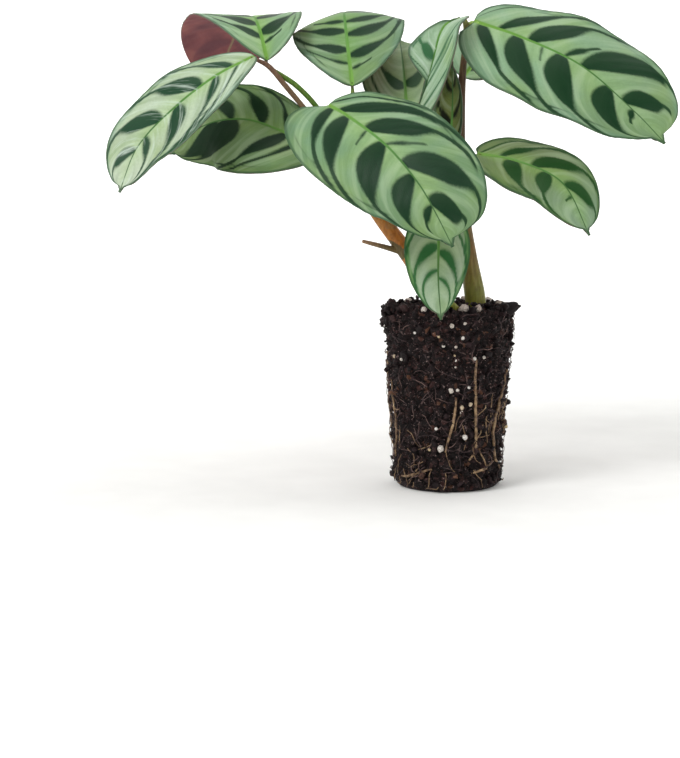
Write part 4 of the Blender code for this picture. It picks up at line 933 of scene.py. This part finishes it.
# Each leaf stalk's points from inside the stalk to the blade, and its tones from foot to blade.
RIGHT_LEAVES = {
    "leaf_right": ([(4.2, 5.4, 119.5), (4.6, 4.2, 123.6)], ["#54402C", "#6E7A3A", "#8FB85C"]),
    "leaf_folded": ([(4.0, 6.0, 116.5), (4.3, 4.8, 121.0)], ["#5A4830", "#7E8A48"]),
    "leaf_back": ([(3.4, 6.4, 101.0), (3.3, 9.6, 106.0)], ["#55452C", "#5E7030"]),
    "leaf_middle_back": ([(3.3, 4.4, 88.5), (-4.0, 5.4, 91.6)], ["#55502C", "#5C6E30"]),
    "leaf_right_mid": ([(3.6, 3.6, 84.0), (4.4, 0.0, 89.0)], ["#6A5A34", "#6C8038"]),
    "leaf_centre_shaded": ([(3.8, 3.2, 80.0), (0.6, 2.4, 84.0)], ["#6A5A34", "#4C5A20"]),
}
LEFT_LEAVES = {
    "leaf_left": ([(-31.4, 1.4, 94.0), (-39.6, 4.0, 103.8), (-44.8, 3.5, 110.0), (-49.4, 2.8, 115.4)],
                  ["#6E5A38", "#665238", "#664C38", "#6C4A42"]),
    "leaf_upper_left": ([(-30.0, 1.2, 92.8), (-35.9, 6.0, 103.6), (-42.0, 5.6, 110.2)],
                        ["#4E6E1C", "#44701A", "#446C1A", "#5E7A2C"]),
    "leaf_upper_middle": ([(-25.0, -0.8, 84.0), (-25.8, 1.2, 97.0)], ["#7A5A36", "#5A7A2C"]),
    "leaf_centre_front": ([(-29.0, 0.6, 90.2), (-33.4, -0.4, 99.6)], ["#8A6238", "#7C9A48"]),
    "leaf_left_back": ([(-25.6, -0.6, 84.8), (-31.0, 1.6, 89.6)], ["#7A5A36", "#5E7030"]),
    "leaf_small_front": ([(-16.8, -3.2, 72.0), (-10.5, -8.2, 78.6)], ["#9A6A38", "#7A9A48"]),
}
STALK_TONES = {
    "shoot_right": ["#9A9E34", "#6C7028", "#74582C", "#6E6A42", "#5A4A2C", "#4C3A28", "#4A3828", "#5E5A30"],
    "shoot_left": ["#8C8A38", "#A0762E", "#B46E28", "#A8722E", "#8E6230", "#7A5A40"],
}


def ringed(points, radii, steps):
    """A route for tubes: the smooth curve through the points, with its radius at each."""
    return [(spot, ease(radii, i / steps)) for i, spot in enumerate(even_path(points, steps + 1))]


def shoot(name, stalk, radii, leaves, extras):
    """A stalk and its leaf stalks fused into one skin, with a tone for every point of it."""
    routes = [ringed(stalk, radii, 90)]
    tones = [STALK_TONES[name]]
    for leaf_name, (stops, colours) in leaves.items():
        spine = even_path(LEAVES[leaf_name]["spine"], 41)
        ahead = (spine[1] - spine[0]).normalized()
        behind = Vector(LEAVES[leaf_name]["face"][0]).normalized() * -1.0
        ends = [spine[0] + behind * 1.7 - ahead * 0.7, spine[0] + ahead * 1.3]
        points = [Vector(stop) for stop in stops] + ends
        route = []
        for i, spot in enumerate(even_path(points, 41)):
            taper = 1.0 - PETIOLE_THINS * smooth(0.80, 1.0, i / 40.0)
            route.append((spot, PETIOLE_RADIUS * taper))
        routes.append(route)
        tones.append(colours)
    for points, widths, colours in extras:
        routes.append(ringed(points, widths, 24))
        tones.append(colours)
    body = tubes(routes, 4)
    modify(body, "REMESH", mode="VOXEL", voxel_size=SHOOT_VOXEL * MM)
    modify(body, "SMOOTH", factor=0.5, iterations=6)
    nearest = kdtree.KDTree(sum(len(route) for route in routes))
    owners = []
    for k, route in enumerate(routes):
        for i, (spot, radius) in enumerate(route):
            nearest.insert(Vector(spot), len(owners))
            owners.append((k, i / (len(route) - 1)))
    nearest.balance()
    linear = [[tone(code) for code in colours] for colours in tones]
    painted = []
    for vert in body.data.vertices:
        k, share = owners[nearest.find(vert.co / MM)[1]]
        place = share * (len(linear[k]) - 1)
        i = min(int(place), len(linear[k]) - 2)
        painted.extend(mixed(linear[k][i], linear[k][i + 1], place - i))
    body.data.attributes.new("tint", "FLOAT_COLOR", "POINT").data.foreach_set("color", painted)
    pick(body)
    bpy.ops.object.shade_smooth()
    dress(body, name + "_skin", [stalk_skin], "stalk", name)


# Live stalk skin: satin, with fibres that run up it as fine pale and dark streaks, and brown blotches.
stalk_skin, tree, shader = new_material("live stalk skin", Roughness=0.45, Specular_IOR_Level=0.3)
place = node(tree, "TexCoord", {}, "Object")
tint = node(tree, "Attribute", {}, "Color", attribute_name="tint")
fibres = node(tree, "Mapping", {0: place, 3: (1800.0, 1800.0, 120.0)})
fibres = node(tree, "TexNoise", {"Vector": fibres, "Scale": 1.0, "Detail": 3.0})
blotch = node(tree, "TexNoise", {"Vector": place, "Scale": 420.0, "Detail": 4.0, "Roughness": 0.7})
for pattern, start, end, most, code in [(fibres, 0.5, 0.75, 0.14, "#C8B070"),
                                        (fibres, 0.5, 0.28, 0.35, "#3E2A1A"),
                                        (blotch, 0.52, 0.68, 0.5, "#54421E")]:
    cover = node(tree, "MapRange", {0: pattern, 1: start, 2: end, 3: 0.0, 4: most})
    tint = node(tree, "Mix", {0: cover, 6: tint, 7: tone(code)}, 2, data_type="RGBA")
tree.links.new(tint, shader.inputs["Base Color"])
bumps = node(tree, "Bump", {"Strength": 0.5, "Distance": 0.00012, "Height": fibres})
tree.links.new(bumps, shader.inputs["Normal"])

shoot("shoot_right", RIGHT_STALK, RIGHT_RADII, RIGHT_LEAVES, [])
shoot("shoot_left", LEFT_STALK, LEFT_RADII, LEFT_LEAVES,
      [(STUB, STUB_RADII, ["#5E5428", "#6A5A3C", "#9A7A5C"]),
       (BUD, BUD_RADII, ["#8A7C2C", "#8E842E", "#76802C"])])


# Stage. A round white studio floor whose rim curves up into a wall, soft lights, and the camera. The
# paper behind the plant glows white by its own emission: painted light in place of a lamp at its back.

STAGE_RADIUS = 1.9
STAGE_WALL = 1.5
bpy.ops.object.select_all(action="DESELECT")
bpy.ops.mesh.primitive_cylinder_add(vertices=96, radius=STAGE_RADIUS, depth=STAGE_WALL,
                                    location=(0.0, 0.0, STAGE_WALL / 2.0))
floor = bpy.context.object
floor.name = "studio_floor"
bpy.ops.object.transform_apply(location=True, rotation=True, scale=True)
bpy.ops.object.mode_set(mode="EDIT")
bpy.ops.mesh.select_all(action="DESELECT")
bpy.ops.object.mode_set(mode="OBJECT")
for face in floor.data.polygons:
    face.select = face.normal.z > 0.9
bpy.ops.object.mode_set(mode="EDIT")
bpy.ops.mesh.select_mode(type="FACE")
bpy.ops.mesh.delete(type="FACE")
bpy.ops.object.mode_set(mode="OBJECT")
modify(floor, "BEVEL", width=0.8, segments=20, limit_method="ANGLE")
pick(floor)
bpy.ops.object.shade_smooth()
paper, tree, shader = new_material("white studio paper", Roughness=0.9, Specular_IOR_Level=0.1)
place = node(tree, "TexCoord", {}, "Object")
tooth = node(tree, "TexNoise", {"Vector": place, "Scale": 60.0, "Detail": 2.0})
white = node(tree, "ValToRGB", {0: tooth}, stops=[(0.3, "#F0F0EE"), (0.7, "#F4F4F2")])
tree.links.new(white, shader.inputs["Base Color"])
# The paper's own emission grows towards the back: painted light standing in for a lamp behind the paper.
behind = node(tree, "SeparateXYZ", {0: place}, "Y")
glow = node(tree, "MapRange", {0: behind, 1: 0.05, 2: 0.9, 3: 0.0, 4: 0.55},
            interpolation_type="SMOOTHSTEP")
shader.inputs["Emission Color"].default_value = tone("#FFFFFF")
tree.links.new(glow, shader.inputs["Emission Strength"])
floor.data.materials.append(paper)

VIEW_CENTRE = Vector((-0.030, 0.0, 0.0295))
VIEW_DISTANCE = 0.600
VIEW_ELEVATION = math.radians(8.0)
PHOTO_WIDTH = 680.0
FOCAL_PIXELS = 2160.0        # 3.6 pixels to a millimetre at the plant


def softbox(name, place, aim, size, watts, code):
    """A square soft light that faces a point."""
    bpy.ops.object.light_add(type="AREA", location=place)
    lamp = bpy.context.object
    lamp.name = name
    lamp.rotation_euler = (Vector(aim) - Vector(place)).to_track_quat("-Z", "Y").to_euler()
    lamp.data.shape = "SQUARE"
    lamp.data.size = size
    lamp.data.energy = watts
    lamp.data.color = tone(code)[:3]


softbox("key", (-0.75, -0.75, 1.05), (-0.02, 0.0, 0.09), 0.55, 11.0, "#FFFFFF")
softbox("top", (0.15, 0.25, 1.15), (-0.01, 0.0, 0.09), 0.8, 4.0, "#FFFFFF")
softbox("fill", (0.95, -0.85, 0.55), (-0.01, 0.0, 0.08), 0.8, 2.0, "#FFFFFF")

world = bpy.data.worlds.new("pale studio")
world.use_nodes = True
world.node_tree.nodes["Background"].inputs["Color"].default_value = tone("#FBFBFA")
world.node_tree.nodes["Background"].inputs["Strength"].default_value = 0.42
bpy.context.scene.world = world
bpy.context.scene.view_settings.view_transform = "Standard"

away = Vector((0.0, -math.cos(VIEW_ELEVATION), math.sin(VIEW_ELEVATION)))
bpy.ops.object.camera_add(location=VIEW_CENTRE + away * VIEW_DISTANCE)
camera = bpy.context.object
camera.rotation_euler = (-away).to_track_quat("-Z", "Y").to_euler()
camera.data.sensor_fit = "HORIZONTAL"
camera.data.sensor_width = 36.0
camera.data.lens = 36.0 * FOCAL_PIXELS / PHOTO_WIDTH
camera.data.clip_start = 0.01
camera.data.clip_end = 20.0
bpy.context.scene.camera = camera
